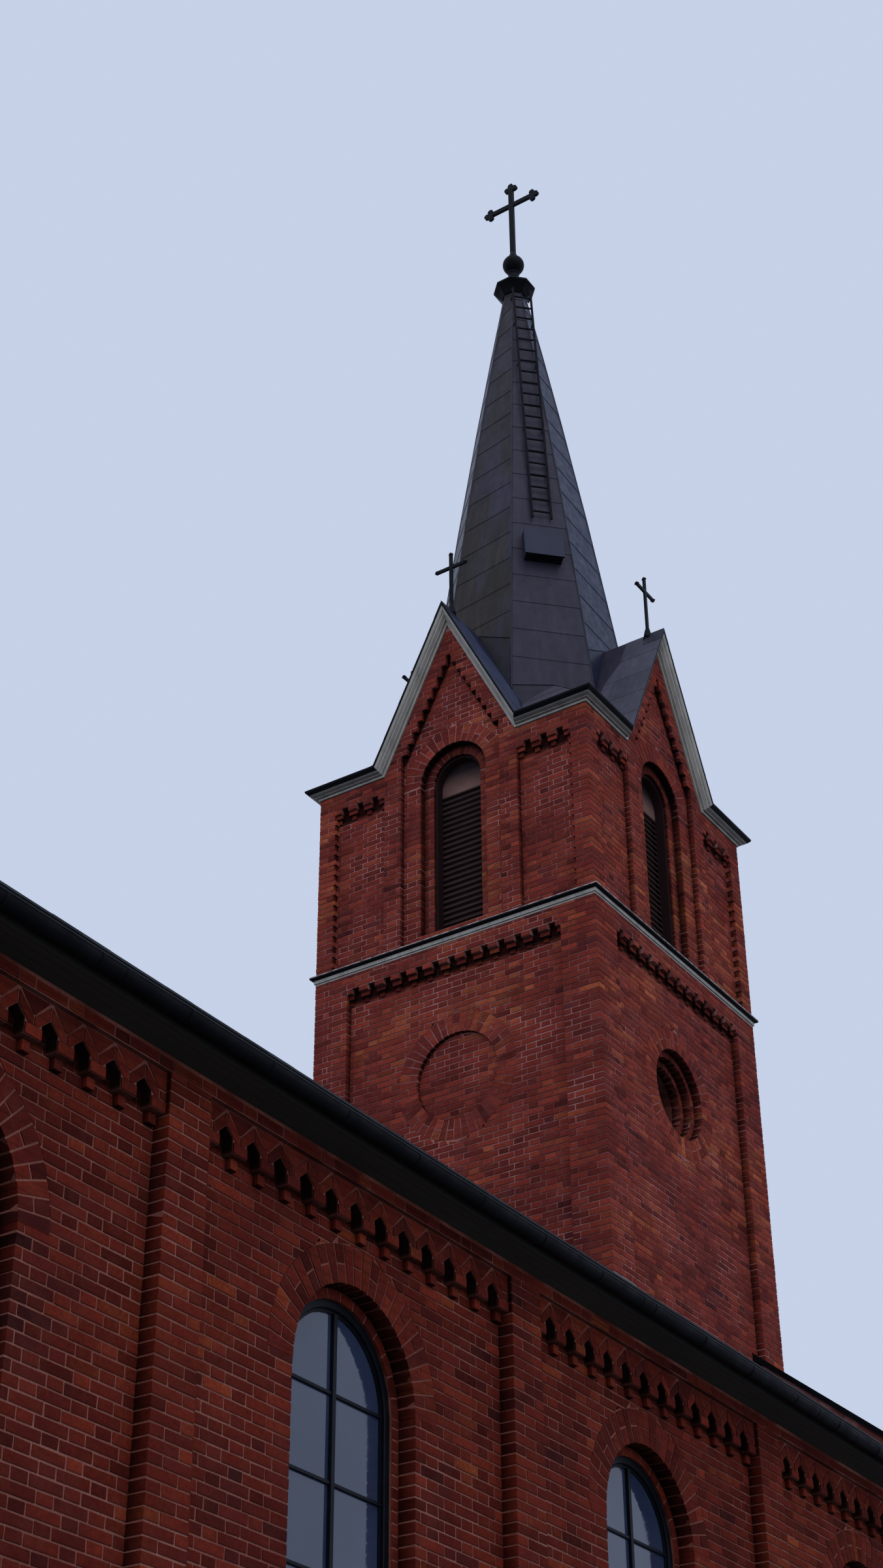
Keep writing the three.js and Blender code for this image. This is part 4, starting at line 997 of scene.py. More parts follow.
# The pane is opaque: its dark blue colour is painted shade for the unlit nave behind it, and its reflections
# are real.
clouded(tree, surface, noise(tree, 1.2, 3.0), (0.024, 0.036, 0.075), (0.038, 0.053, 0.10))
tree.links.new(stretched(tree, noise(tree, 3.5, 4.0), 0.4, 0.75, 0.02, 0.12), surface.inputs["Roughness"])
bumped(tree, surface, noise(tree, 1.8, 1.0, (1, 1, 0.5)), 0.006)


def moulding(face, centre, radius, foot, spring, profile, plane=0.0):
    """A moulding round an arched opening, through the points (inset, depth) of its profile."""
    rings = [on_face(face, arch_outline(centre, radius - inset, foot + inset, spring), plane + depth)
             for inset, depth in profile]
    return tube(np.stack(rings), closed=True)


def arched_plate(face, centre, radius, foot, spring, back, front):
    """A plate with a round head."""
    outline = arch_outline(centre, radius, foot, spring)
    return tube(np.stack([on_face(face, outline, depth) for depth in (back, front)]))


def window(face, centre):
    """The frame with its bars, and the pane, of a nave window."""
    inner = WINDOW_RADIUS - GLASS_INSET
    post = [(centre - POST_HALF, centre + POST_HALF, SILL + GLASS_INSET, SPRING + inner - 0.01)]
    levels = [(centre - inner, centre + inner, z - BAR_HALF, z + BAR_HALF)
              for z in SPRING - BAR_PITCH * np.arange(BAR_COUNT)]
    frame_parts = [
        moulding(face, centre, WINDOW_RADIUS, SILL, SPRING, FRAME_PROFILE, -PANEL_DEPTH),
        bars(face, post, *POST_DEPTHS, 0.004),
        bars(face, levels, *BAR_DEPTHS, 0.002),
    ]
    return frame_parts, arched_plate(face, centre, inner, SILL + GLASS_INSET, SPRING, *GLASS_DEPTHS)


for side, face, flip in (("left", left_face, 1), ("right", right_face, -1)):
    pairs = [window(face, flip * (a + b) / 2) for a, b in bays]
    frames = built(f"nave_window_frames_{side}", [part for parts, _ in pairs for part in parts], navy)
    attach(frames, "root")
    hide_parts(*[f"nave_window_{side}_{i}" for i in range(1, 6)])
    panes = built(f"nave_panes_{side}", [pane for _, pane in pairs], glass)
    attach(panes, "root")
pairs = [window(rear_face, (a + b) / 2) for a, b in rear_panels]
frames = built("rear_window_frames", [part for parts, _ in pairs for part in parts], navy)
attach(frames, "root")
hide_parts("rear_window_1", "rear_window_2", "rear_window_3")
panes = built("rear_panes", [pane for _, pane in pairs], glass)
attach(panes, "root")


# Belfry louvres. Sloping slats in a deep timber frame, in weathered timber on their front edges and
# painted dark below as shade, with a blank board in the arch above.
LOUVRE_FACE = -BELFRY_PANEL_DEPTH - BELL_ORDER_DEPTH - LOUVRE_SETBACK
LOUVRE_FRAME = [(0.001, 0.115), (0.028, 0.115), (0.032, 0.108), (0.032, -0.058), (0.001, -0.058)]
SLAT_PITCH = 0.083
SLAT_FOOT = 16.30
SLAT_HALF = BELL_RADIUS - 0.03
BOARD_FOOT = 18.37
BATTEN_RISE = 0.022
SLAT_SECTION = [(-0.002, 0.0), (-0.004, 0.020), (-0.057, 0.098), (-0.055, 0.080)]   # depth, height

weathered, tree, surface = material("louvre_timber", 0.85, 0.15)
grain = noise(tree, 6, 5.0, (1, 1, 14))
facing = facing_of(tree, "Normal")
x, y, _ = place_of(tree)
x = calc(tree, "SUBTRACT", x, AXIS)
off_axis = [calc(tree, "ABSOLUTE", v) for v in (x, y)]
outward = [times(tree, calc(tree, "ABSOLUTE", normal), calc(tree, "GREATER_THAN", v, 1.0))
           for normal, v in zip(facing, off_axis)]
inner = calc(tree, "LESS_THAN", calc(tree, "MAXIMUM", *off_axis), TOWER_HALF + LOUVRE_FACE + 0.03)
front_edge = times(tree, stretched(tree, calc(tree, "ADD", *outward), 0.75, 0.9), inner)
timber_colour = ramp(tree, grain, [(0.25, (0.030, 0.016, 0.015)), (0.5, (0.046, 0.025, 0.024)),
                              (0.75, (0.064, 0.038, 0.036))])
# painted shade: every face but the outward front edges of the slats and frame is near-black, as the shade in
# the deep opening
coloured(tree, surface, mix(tree, front_edge, (0.021, 0.0078, 0.0085), timber_colour))
bumped(tree, surface, grain, 0.002)
board_paint, tree, surface = material("louvre_board", 0.8, 0.15)
weather = ramp(tree, noise(tree, 3, 5.0, (1, 1, 2)),
               [(0.3, (0.15, 0.078, 0.064)), (0.7, (0.225, 0.12, 0.098))])
shaded = stretched(tree, place_of(tree)[2], 18.48, 18.72, 0.0, 0.93)
coloured(tree, surface, mix(tree, shaded, weather, (0.008, 0.007, 0.010)))
bumped(tree, surface, noise(tree, 40, 3.0), 0.001)

parts, boards = [], []
depth, rise = np.array(SLAT_SECTION).T
foot = np.arange(SLAT_FOOT, BOARD_FOOT - SLAT_PITCH / 2, SLAT_PITCH)[:, None]
ends = np.stack([np.broadcast_to(u, (len(foot), 4)) for u in (-SLAT_HALF, SLAT_HALF)], 1)
slats = np.stack([ends, np.broadcast_to((foot + rise)[:, None], ends.shape)], -1)
slat_depth = LOUVRE_FACE + np.broadcast_to(depth, ends.shape)
batten = [(-SLAT_HALF, SLAT_HALF, BOARD_FOOT, BOARD_FOOT + BATTEN_RISE)]
board_places = [(BOARD_FOOT + 0.010, LOUVRE_FACE - 0.03, LOUVRE_FACE - 0.008),
                (SLAT_FOOT - 0.02, LOUVRE_FACE - 0.06, LOUVRE_FACE - 0.058)]       # foot, back, front
for quarter in range(4):
    face = tower_face(quarter)
    parts += [
        pile(on_face(face, slats, slat_depth).reshape(-1, 8, 3)),
        moulding(face, 0, BELL_RADIUS, BELL_SILL, BELL_ARCH_Z, LOUVRE_FRAME, LOUVRE_FACE),
        bars(face, batten, LOUVRE_FACE - 0.01, LOUVRE_FACE + 0.002, 0.002),
    ]
    boards += [arched_plate(face, 0, SLAT_HALF + 0.002, low, BELL_ARCH_Z, back, front)
               for low, back, front in board_places]
louvres = built("belfry_louvres", parts, weathered)
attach(louvres, "root")
louvre_boards = built("belfry_louvre_boards", boards, board_paint)
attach(louvre_boards, "root")
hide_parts(*[f"belfry_louvres_{side}" for side in SIDES])


# Belt course of the tower: a painted board, mitred at the corners and butted along each side,
# under a projecting lip of dark sheet with a pale strip along its upper edge, a painted highlight.
BELT_PROFILE = [(-0.44, 15.982), (0.006, 15.982), (0.006, 16.003), (0.021, 16.006), (0.022, 16.010),
                (0.022, 16.052), (-0.44, 16.052)]                                     # reach, height
LIP_PROFILE = [(-0.44, 16.053), (0.026, 16.053), (0.060, 16.064), (0.064, 16.068), (0.064, 16.084),
               (-0.44, 16.089)]
LIP_HIGHLIGHT = [(-0.44, 16.0895), (0.0645, 16.0845), (0.0655, 16.086), (0.0655, 16.097), (-0.44, 16.0995)]
BUTTS = np.array([-0.98, 0.03, 1.02])
BUTT_GAP = 0.002

paint, tree, surface = material("painted_trim", 0.55)
streak = noise(tree, 3.0, 6.0, (3, 3, 0.35), 0.6)
tint = ramp(tree, streak, [(0.25, (0.25, 0.23, 0.20)), (0.45, (0.37, 0.345, 0.30)),
                           (0.65, (0.45, 0.42, 0.365)), (0.85, (0.55, 0.51, 0.45))])
speck = stretched(tree, noise(tree, 30, 4.0), 0.62, 0.72)
dirty = mix(tree, times(tree, speck, 0.5), tint, (0.12, 0.115, 0.105))
# painted shade: faces that look down, such as the coves and soffits, darken towards near-black
underside = stretched(tree, facing_of(tree)[2], -0.25, -0.75, 0.0, 0.72)
coloured(tree, surface, mix(tree, underside, dirty, (0.03, 0.03, 0.03)))
bumped(tree, surface, noise(tree, 45, 3.0), 0.0015)
black_metal, tree, surface = material("black_metal", 0.5, 0.08)
clouded(tree, surface, noise(tree, 5, 5.0), (0.0016, 0.0018, 0.003), (0.0042, 0.005, 0.0075))
tree.links.new(stretched(tree, noise(tree, 7, 4.0), 0.3, 0.7, 0.45, 0.65), surface.inputs["Roughness"])
bumped(tree, surface, noise(tree, 6, 2.0), 0.002)
# painted highlight: a pale strip along the lip's upper edge, where the sheet catches the light
lip_highlight, tree, surface = material("lip_highlight_paint", 0.6)
clouded(tree, surface, noise(tree, 4, 5.0, (3, 3, 0.5)), (0.10, 0.085, 0.08), (0.55, 0.43, 0.40), 0.35, 0.6)
bumped(tree, surface, noise(tree, 45, 3.0), 0.001)


def run(face, profile, start, end):
    """A moulding along a face through the points (reach, height) of its profile. Its ends are cut
    square at start and end, or mitred round the corner where these are infinite."""
    reach, height = np.array(profile, float).T
    ends = [np.sign(e) * (TOWER_HALF + reach) if np.isinf(e) else e + 0 * reach for e in (start, end)]
    flat = np.stack([np.stack([e, height], -1) for e in ends])
    return tube(on_face(face, flat, np.broadcast_to(reach, (2, len(reach)))))


edges = [-np.inf, *BUTTS, np.inf]
parts = [run(tower_face(quarter), BELT_PROFILE, a + BUTT_GAP, b - BUTT_GAP)
         for quarter in range(4) for a, b in zip(edges[:-1], edges[1:])]
belt = built("belt_course_boards", parts, paint)
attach(belt, "root")
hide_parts("tower_belt_course")
for name, profile, made in (("belt_course_lip", LIP_PROFILE, black_metal),
                            ("belt_course_lip_highlight", LIP_HIGHLIGHT, lip_highlight)):
    lip = built(name, [run(tower_face(quarter), profile, -np.inf, np.inf) for quarter in range(4)], made)
    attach(lip, "root")


# Cornice of the belfry. Painted mouldings run level round the corners and up the gables: a flat
# band by the brick, a groove and a cove. The level runs end in a black fascia, the rakes in a thin edge.
CORNICE_PROFILE = [(0.0, 0.002), (0.0, 0.026), (0.033, 0.027), (0.033, 0.062), (0.041, 0.066),
                   (0.048, 0.080), (0.060, 0.104), (0.074, 0.117), (0.134, 0.117),
                   (0.134, 0.002)]      # offset, reach
FASCIA_PROFILE = [(0.0755, 0.118), (0.0755, 0.125), (0.088, 0.137), (0.104, 0.153), (0.112, 0.159),
                  (0.134, 0.1635), (0.134, 0.118)]
COVE_PROFILE = [(0.0755, 0.118), (0.0755, 0.125), (0.084, 0.138), (0.100, 0.151), (0.109, 0.155),
                (0.110, 0.118)]
EDGE_PROFILE = [(0.111, 0.118), (0.111, 0.1615), (0.134, 0.1635), (0.134, 0.118)]
CORNERS = 4                 # of eaves_ring, for each side of the belfry
GABLE_SLOPE = (GABLE_APEX - EAVES_Z) / GABLE_FOOT
GABLE_STRETCH = np.hypot(1, GABLE_SLOPE)


def eaves_ring(offset, reach):
    """The eaves line all round the belfry, moved out by offset in the plane of each face."""
    out = TOWER_HALF + reach
    foot = GABLE_FOOT + offset * (GABLE_STRETCH - 1) / GABLE_SLOPE
    level = EAVES_Z + offset
    apex = GABLE_APEX + offset * GABLE_STRETCH
    corners = [(-out, level), (-foot, level), (0, apex), (foot, level)]
    return np.array([(AXIS + x, y, z) for quarter in range(4)
                     for (x, y), z in ((turned((u, -out), quarter), z) for u, z in corners)])


def eaves_runs(profile, stations):
    """A moulding on part of each face's eaves line, through the given corners of eaves_ring."""
    lines = np.stack([eaves_ring(*point) for point in profile])
    return [tube(lines[:, (np.array(stations) + CORNERS * quarter) % (4 * CORNERS)].transpose(1, 0, 2))
            for quarter in range(4)]


ROUND_CORNER, UP_AND_DOWN = (3, 4, 5), (1, 2, 3)
parts = [tube(np.stack([eaves_ring(*p) for p in CORNICE_PROFILE]), closed=True)]
cornice = built("cornice_mouldings", parts + eaves_runs(COVE_PROFILE, UP_AND_DOWN), paint)
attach(cornice, "root")
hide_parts("gable_cornice")
parts = eaves_runs(FASCIA_PROFILE, ROUND_CORNER) + eaves_runs(EDGE_PROFILE, UP_AND_DOWN)
edge = built("cornice_edge", parts, black_metal)
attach(edge, "root")


# Spire. Zinc sheets in level courses on its eight faces, lapped and locked, with rolls on the
# edges; the sheets of two faces are laid aslant.
SPIRE_CUT = 28.95
CORNICE_TOP = 0.135
SPIRE_LEVELS = np.array([EAVES_Z + CORNICE_TOP, 21.5, 24.0, 26.0, 27.5, SPIRE_CUT])
TAPER_FOOT = 19.1
TAPER = (-0.00281, -0.12328, 1.629)     # radius over the height above the taper's foot, a parabola
SPIRE_RADII = np.polyval(TAPER, SPIRE_LEVELS - TAPER_FOOT)
OCT = np.pi / 8
APRON_TOP = 20.15
APRON_HALF = 0.96
SHEET_PITCH = 0.533
SHEET_START = 18.727
SHEET_LAP = 0.03
SHEET_RISES = np.array([0, 0, SHEET_PITCH + SHEET_LAP, SHEET_PITCH + SHEET_LAP])    # of its corners
SHEET_LIFTS = np.array([0.010, 0.010, 0.004, 0.004])       # its foot lies over the sheet below
APRON_RATE = (APRON_TOP - EAVES_Z - CORNICE_TOP) / (TOWER_HALF - APRON_HALF)
RIDGE_Z = GABLE_APEX + CORNICE_TOP * GABLE_STRETCH

zinc, tree, surface = material("zinc_sheet", 0.45, 0.15)
lightness, warm_tone, edge_share, _ = tone_of(tree)
facing = facing_of(tree)
rearward = calc(tree, "SUBTRACT", place_of(tree)[0], AXIS)
stain = times(tree, stretched(tree, facing[0], -0.93, -0.97), stretched(tree, rearward, -1.35, -0.75, 1, 0.7),
              stretched(tree, noise(tree, 2.0, 5.0, (1, 1, 0.4)), 0.36, 0.54))
streak = noise(tree, 5.0, 6.0, (2.2, 2.2, 0.3), 0.6)
cool, blue, brown = (ramp(tree, streak, list(zip((0.25, 0.5, 0.75), colours))) for colours in (
    ((0.047, 0.041, 0.066), (0.059, 0.052, 0.081), (0.078, 0.071, 0.106)),
    ((0.014, 0.022, 0.066), (0.019, 0.029, 0.083), (0.029, 0.041, 0.108)),
    ((0.027, 0.018, 0.012), (0.046, 0.034, 0.024), (0.072, 0.057, 0.045))))
plain = mix(tree, stretched(tree, facing[1], -0.75, -0.97), cool, blue)
brightness = ramp(tree, lightness, [(0, (0.80, 0.80, 0.81)), (1, (1.16, 1.16, 1.15))])
roof_tone = ramp(tree, warm_tone, [(0.25, (0.55, 0.55, 0.57)), (0.75, (1.25, 1.34, 1.15))])
toned = tinted(tree, tinted(tree, mix(tree, stain, plain, brown), brightness), roof_tone)
# painted shade: the edge faces of each sheet darken towards near-black at their backs, along the laps and
# seams
coloured(tree, surface, mix(tree, times(tree, edge_share, 0.85), toned, (0.008, 0.008, 0.010)))
tree.links.new(stretched(tree, noise(tree, 9, 4.0), 0.3, 0.7, 0.36, 0.52), surface.inputs["Roughness"])
bumped(tree, surface, noise(tree, 2.6, 3.0), 0.012)
finish_nodes(["spire", "gable_roofs"], zinc)


def roof_height(x, y):
    """Height of the crossing gable roofs and their corner aprons over the tower's axis plan."""
    x, y = abs(x), abs(y)
    apron = APRON_TOP - APRON_RATE * (np.maximum(x, y) - APRON_HALF)
    return np.maximum(RIDGE_Z - GABLE_SLOPE * np.minimum(x, y), apron)


def spire_radius(z):
    """Radius to the corners, straight between levels that lie on a slight swell."""
    return np.interp(z, SPIRE_LEVELS, SPIRE_RADII)


def on_spire(k, u, z, off=0.0):
    """A point of spire face k, u of its half width from its middle, at height z, off its surface."""
    apothem = spire_radius(z) * np.cos(OCT) + off
    across = u * spire_radius(z) * np.sin(OCT)
    angle = k * np.pi / 4
    x = apothem * np.cos(angle) - across * np.sin(angle)
    y = apothem * np.sin(angle) + across * np.cos(angle)
    return np.stack([AXIS + x, y, z + 0 * u], -1)


def on_roofs(line, z):
    """Height at which a line of the spire, a point for each z, meets the roofs: a few steps from z
    towards the fixed point."""
    for _ in range(8):
        point = line(z)
        z = roof_height(point[..., 0] - AXIS, point[..., 1])
    return z


SLANTS = [0.0, 0.0, 0.0, 0.0, 0.15, 0.0, -0.06, 0.0]      # rise of the seams across each face
ROOF_GUESS = 20.0
LEAST_SHEET = 0.04
parts = []
for k in range(8):
    for half in ((-1, 0), (0, 1)):
        u = np.array([half[0], half[1], half[1], half[0]], float) * 0.999
        start = np.arange(SHEET_START, SPIRE_CUT + 0.4, SHEET_PITCH)[:, None] + (k % 2) * SHEET_PITCH / 2
        z = start + SHEET_RISES + SLANTS[k] * u / 2
        foot = on_roofs(lambda level: on_spire(k, u, level), np.full(4, ROOF_GUESS))
        z = np.clip(z, foot + 0.01, SPIRE_CUT - 0.002)
        z = z[(z[:, 2] - z[:, 1] > LEAST_SHEET) & (z[:, 3] - z[:, 0] > LEAST_SHEET)]
        u = np.broadcast_to(u, z.shape)
        parts.append(np.concatenate([on_spire(k, u, z, -0.01), on_spire(k, u, z, SHEET_LIFTS)], axis=1))
spire_sheets = block_mesh("spire_sheets", parts, zinc, 0.25, 0.02)
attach(spire_sheets, "root")


def rod(start, end, radius, sides=10):
    """A round bar between two points."""
    start, end = np.array(start, float), np.array(end, float)
    way = (end - start) / np.linalg.norm(end - start)
    side = np.cross(way, (0.3, 0.9, 0.2))
    side /= np.linalg.norm(side)
    turn = np.linspace(0, 2 * np.pi, sides, endpoint=False)[:, None]
    ring = radius * (np.cos(turn) * side + np.sin(turn) * np.cross(way, side))
    return tube(np.stack([start + ring, end + ring]))


def hip(k, z):
    """A point on the edge between spire faces k and k + 1."""
    radius = spire_radius(z)
    angle = (k + 0.5) * np.pi / 4
    return np.array([AXIS + radius * np.cos(angle), radius * np.sin(angle), z])


parts = []
for k in range(8):
    foot = on_roofs(lambda level: hip(k, level), ROOF_GUESS)
    stops = [foot, *SPIRE_LEVELS[1:-1], SPIRE_CUT - 0.002]
    parts += [rod(hip(k, low), hip(k, high), 0.016) for low, high in zip(stops[:-1], stops[1:])]
spire_rolls = built("spire_rolls", parts, zinc, 0.8)
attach(spire_rolls, "root")


# Crossing gable roofs of the belfry. Zinc in courses along each slope, four low aprons at the
# corners over the cornice, a saddle on the point of each gable and a boot round its cross.
VERGE = TOWER_HALF + 0.163
JOINT_OUT = (1.62, 1.84)    # cross joint of every second course, and of the others
SADDLE_HALF = 0.12
BOOT = ((0.056, RIDGE_Z - 0.12), (0.028, RIDGE_Z + 0.075))      # half width and height, foot and top
CROSS_PLACE = 1.95
EAVES_TOP = EAVES_Z + CORNICE_TOP
GABLE_WIDE = (RIDGE_Z - EAVES_TOP) / GABLE_SLOPE


def axis_reach(z):
    """Distance of the spire's axis faces from the tower's axis."""
    return spire_radius(z) * np.cos(OCT)


def laid_on_roof(quarter, flip, out, aside, z, low=-0.006, lift=(0.012, 0.012, 0.003, 0.003)):
    """Sheets whose corners lie out from the axis towards one face and aside of its ridge."""
    x, y = turned((flip * aside, -out), quarter)
    return np.concatenate([np.stack([AXIS + x, y, z + rise + 0 * x], -1) for rise in (low, np.array(lift))],
                          axis=1)


foot, top = slice(1, None), slice(None, -1)
aside = np.append(np.arange(0.0, GABLE_WIDE, SHEET_PITCH / GABLE_STRETCH), GABLE_WIDE)
height = RIDGE_Z - GABLE_SLOPE * aside
inner = np.maximum(axis_reach(height), np.sqrt(2) * axis_reach(height) - aside)
inner = np.maximum(inner, APRON_HALF - (height - APRON_TOP) / APRON_RATE)
middle = np.where(np.arange(len(aside) - 1) % 2, JOINT_OUT[1], JOINT_OUT[0])
aside = np.stack([aside[foot], aside[foot], aside[top], aside[top]], -1)
sheets = []
for start, end in (((inner[foot], inner[top]), (middle, middle)), ((middle, middle), (VERGE, VERGE))):
    out = np.stack(np.broadcast_arrays(start[0], end[0], end[1], start[1]), -1)
    out[:, 1:3] = np.maximum(out[:, 1:3], out[:, [0, 3]] + 0.01)
    sheets.append((out, aside, RIDGE_Z - GABLE_SLOPE * aside))
far = np.append(np.arange(1.0, TOWER_HALF - 0.1, SHEET_PITCH / np.hypot(1, APRON_RATE)), TOWER_HALF)
height = APRON_TOP - APRON_RATE * (far - APRON_HALF)
near = np.maximum((RIDGE_Z - height) / GABLE_SLOPE, np.sqrt(2) * axis_reach(height) - far)
out = np.stack([far[foot], far[foot], far[top], far[top]], -1)
aside = np.stack([near[foot], far[foot], far[top], near[top]], -1)
sheets.append((out, aside, APRON_TOP - APRON_RATE * (out - APRON_HALF)))
out = np.array([[VERGE, VERGE, TOWER_HALF, TOWER_HALF]])
aside = np.array([[GABLE_WIDE, VERGE, TOWER_HALF, GABLE_WIDE]])
sheets.append((out, aside, EAVES_TOP, -0.0005, (0.003, 0.003, 0.008, 0.008)))
parts = [laid_on_roof(quarter, flip, *sheet)
         for quarter in range(4) for flip in (1, -1) for sheet in sheets]
roof_sheets = block_mesh("gable_roof_sheets", parts, zinc, 0.75, 0.02)
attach(roof_sheets, "root")

parts, boots = [], []
for quarter in range(4):
    for side in (1, -1):
        x = np.array([0.0, SADDLE_HALF, SADDLE_HALF, 0.0]) * side
        low = RIDGE_Z - GABLE_SLOPE * abs(x) + np.array([0.004, 0.004, 0.018, 0.018])
        ends = [turned((x, -np.full(4, reach)), quarter) for reach in (TOWER_HALF - 0.12, VERGE + 0.0005)]
        parts.append(tube(np.stack([np.stack([AXIS + a, b, low], -1) for a, b in ends])))
    middle = np.array(turned((0, -CROSS_PLACE), quarter)) + (AXIS, 0)
    square = np.array([(-1, -1), (1, -1), (1, 1), (-1, 1)])
    boots.append(tube(np.stack([np.concatenate([middle + half * square, np.full((4, 1), z)], axis=1)
                                for half, z in BOOT])))
saddles = built("gable_saddles", parts, zinc)
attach(saddles, "root")
cross_boots = built("gable_cross_boots", boots, black_metal)
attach(cross_boots, "root")


# Spire head. An eight-sided hood of black sheet with a rolled rim, a short neck and a ball under
# the iron cross; a hatch and a ladder on the rear left face.
HOOD = [(0.150, 28.952), (0.178, 28.790), (0.200, 28.782), (0.258, 28.862), (0.330, 28.950),
        (0.335, 28.955), (0.335, 28.983), (0.330, 28.990), (0.086, 29.183)]
NECK = [(0.086, 29.17), (0.080, 29.20), (0.078, 29.31), (0.084, 29.345), (0.096, 29.358), (0.096, 29.378),
        (0.082, 29.39), (0.06, 29.40)]
BALL_Z = 29.555
BALL_RADIUS = 0.173
BOSS = [(0.080, 29.67), (0.080, 29.7295), (0.062, 29.7345)]


def turned_on_axis(profile, sides, phase=0.0):
    """Rings of a body turned on the tower's axis, through points (radius, height)."""
    radius, z = np.array(profile, float).T[..., None]
    angle = np.linspace(0, 2 * np.pi, sides, endpoint=False) + phase
    return tube(np.stack([AXIS + radius * np.cos(angle), radius * np.sin(angle), z + 0 * angle], -1))


polar = np.linspace(-np.pi / 2 + 0.02, np.pi / 2 - 0.02, 25)
ball = np.stack([BALL_RADIUS * np.cos(polar), BALL_Z + BALL_RADIUS * np.sin(polar)], -1)
parts = [turned_on_axis(HOOD, 8, OCT), turned_on_axis(NECK, 32), turned_on_axis(ball, 40),
         turned_on_axis(BOSS, 24)]
head = built("spire_head", parts, black_metal, 0.6)
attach(head, "root")
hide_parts("spire_collar")

hatch_metal, tree, surface = material("hatch_sheet", 0.55, 0.22)
lid_tone = ramp(tree, noise(tree, 4, 6.0, (1, 1, 0.4)),
                [(0.3, (0.020, 0.022, 0.043)), (0.7, (0.028, 0.030, 0.057))])
# painted shade: faces that look down are near-black
upward = stretched(tree, facing_of(tree)[2], -0.05, 0.05)
coloured(tree, surface, mix(tree, upward, (0.004, 0.004, 0.005), lid_tone))
bumped(tree, surface, noise(tree, 4, 3.0), 0.006)
finish_nodes(["spire_hatch"], hatch_metal)
rusty, tree, surface = material("ladder_iron", 0.6, 0.05)
clouded(tree, surface, noise(tree, 14, 5.0), (0.005, 0.005, 0.008), (0.014, 0.012, 0.016))
bumped(tree, surface, noise(tree, 50, 3.0), 0.002)
finish_nodes(["spire_ladder"], rusty)
iron, tree, surface = material("wrought_iron", 0.55, 0.1)
clouded(tree, surface, noise(tree, 12, 5.0), (0.003, 0.0035, 0.006), (0.007, 0.008, 0.013))
bumped(tree, surface, noise(tree, 40, 3.0), 0.0015)
finish_nodes(["spire_cross", *(f"gable_cross_{side}" for side in SIDES)], iron)


# Eaves of the nave. Boarded soffit and fascia in dark olive paint, and a half-round black gutter
# on straps, in lengths joined by sleeves.
GUTTER_Y = 5.570
GUTTER_Z = 8.152
GUTTER_END = 0.012
SOFFIT_Z = 8.081
BOARD_EDGES = [5.262, 5.340, 5.418, 5.478]
BOARD_TOP = 8.10
CORE_FOOT = 8.102           # foot of the solid timber over the boards
CORE_OUTER = 5.478
CORE_INNER = 4.676
FASCIA = (5.480, 5.5)        # inner and outer face
FASCIA_TOPS = (8.165, 8.16)
BOARD_GAP = 0.002
ROOF_SLAB = 0.121
GABLE_WALL = 0.461
GUTTER_STEPS = 16
BEAD_RADIUS = 0.0078
GUTTER_BAND = (0.066, 0.062)        # outer and inner radius
SLEEVE_BAND = (0.0685, 0.0655)
STRAP_BAND = (0.0695, 0.0665)
STRAP_PITCH = 0.8
SLEEVE_PITCH = 3.0
SLEEVE_HALF = 0.05
STRAP_HALF = 0.014

olive, tree, surface = material("eaves_paint", 0.75)
clouded(tree, surface, noise(tree, 3, 6.0, (0.25, 1, 1)), (0.010, 0.010, 0.007), (0.022, 0.021, 0.015))
bumped(tree, surface, noise(tree, 12, 4.0, (0.1, 1, 1)), 0.002)


def along_nave(outline, start, end, flip):
    """A bar of constant outline, given as (distance from the ridge line, height), along the nave."""
    y, z = np.array(outline, float).T
    return tube(np.stack([np.stack([x + 0 * y, flip * y, z], -1) for x in (start, end)]))


def arc_band(outer, inner):
    """Outline of a half-round band, open at the top."""
    turn = np.linspace(np.pi, 2 * np.pi, GUTTER_STEPS + 1)
    return [(GUTTER_Y + r * np.cos(t), GUTTER_Z + r * np.sin(t))
            for r, ts in ((outer, turn), (inner, turn[::-1])) for t in ts]


def roof_over(y):
    """Height of the roof's surface at a distance from the ridge line."""
    return ROOF_EDGE[1] + SLOPE * (ROOF_EDGE[0] - y)


NAVE_INSIDE = (NAVE_REAR + GABLE_WALL, NAVE_FRONT - GABLE_WALL)
joints = np.arange(NAVE_REAR, NAVE_FRONT, SLEEVE_PITCH)
straps = np.arange(NAVE_REAR + 0.35, NAVE_FRONT, STRAP_PITCH)
boards = [box(a + BOARD_GAP, b - BOARD_GAP, SOFFIT_Z, BOARD_TOP)
          for a, b in zip(BOARD_EDGES[:-1], BOARD_EDGES[1:])]
boards.append([(FASCIA[0], SOFFIT_Z), (FASCIA[1], SOFFIT_Z), (FASCIA[1], FASCIA_TOPS[1]),
               (FASCIA[0], FASCIA_TOPS[0])])
boards.append([(CORE_INNER, SOFFIT_Z), (5.25, SOFFIT_Z), (5.26, CORE_FOOT), (CORE_OUTER, CORE_FOOT),
               *((y, roof_over(y) - ROOF_SLAB) for y in (CORE_OUTER, CORE_INNER))])
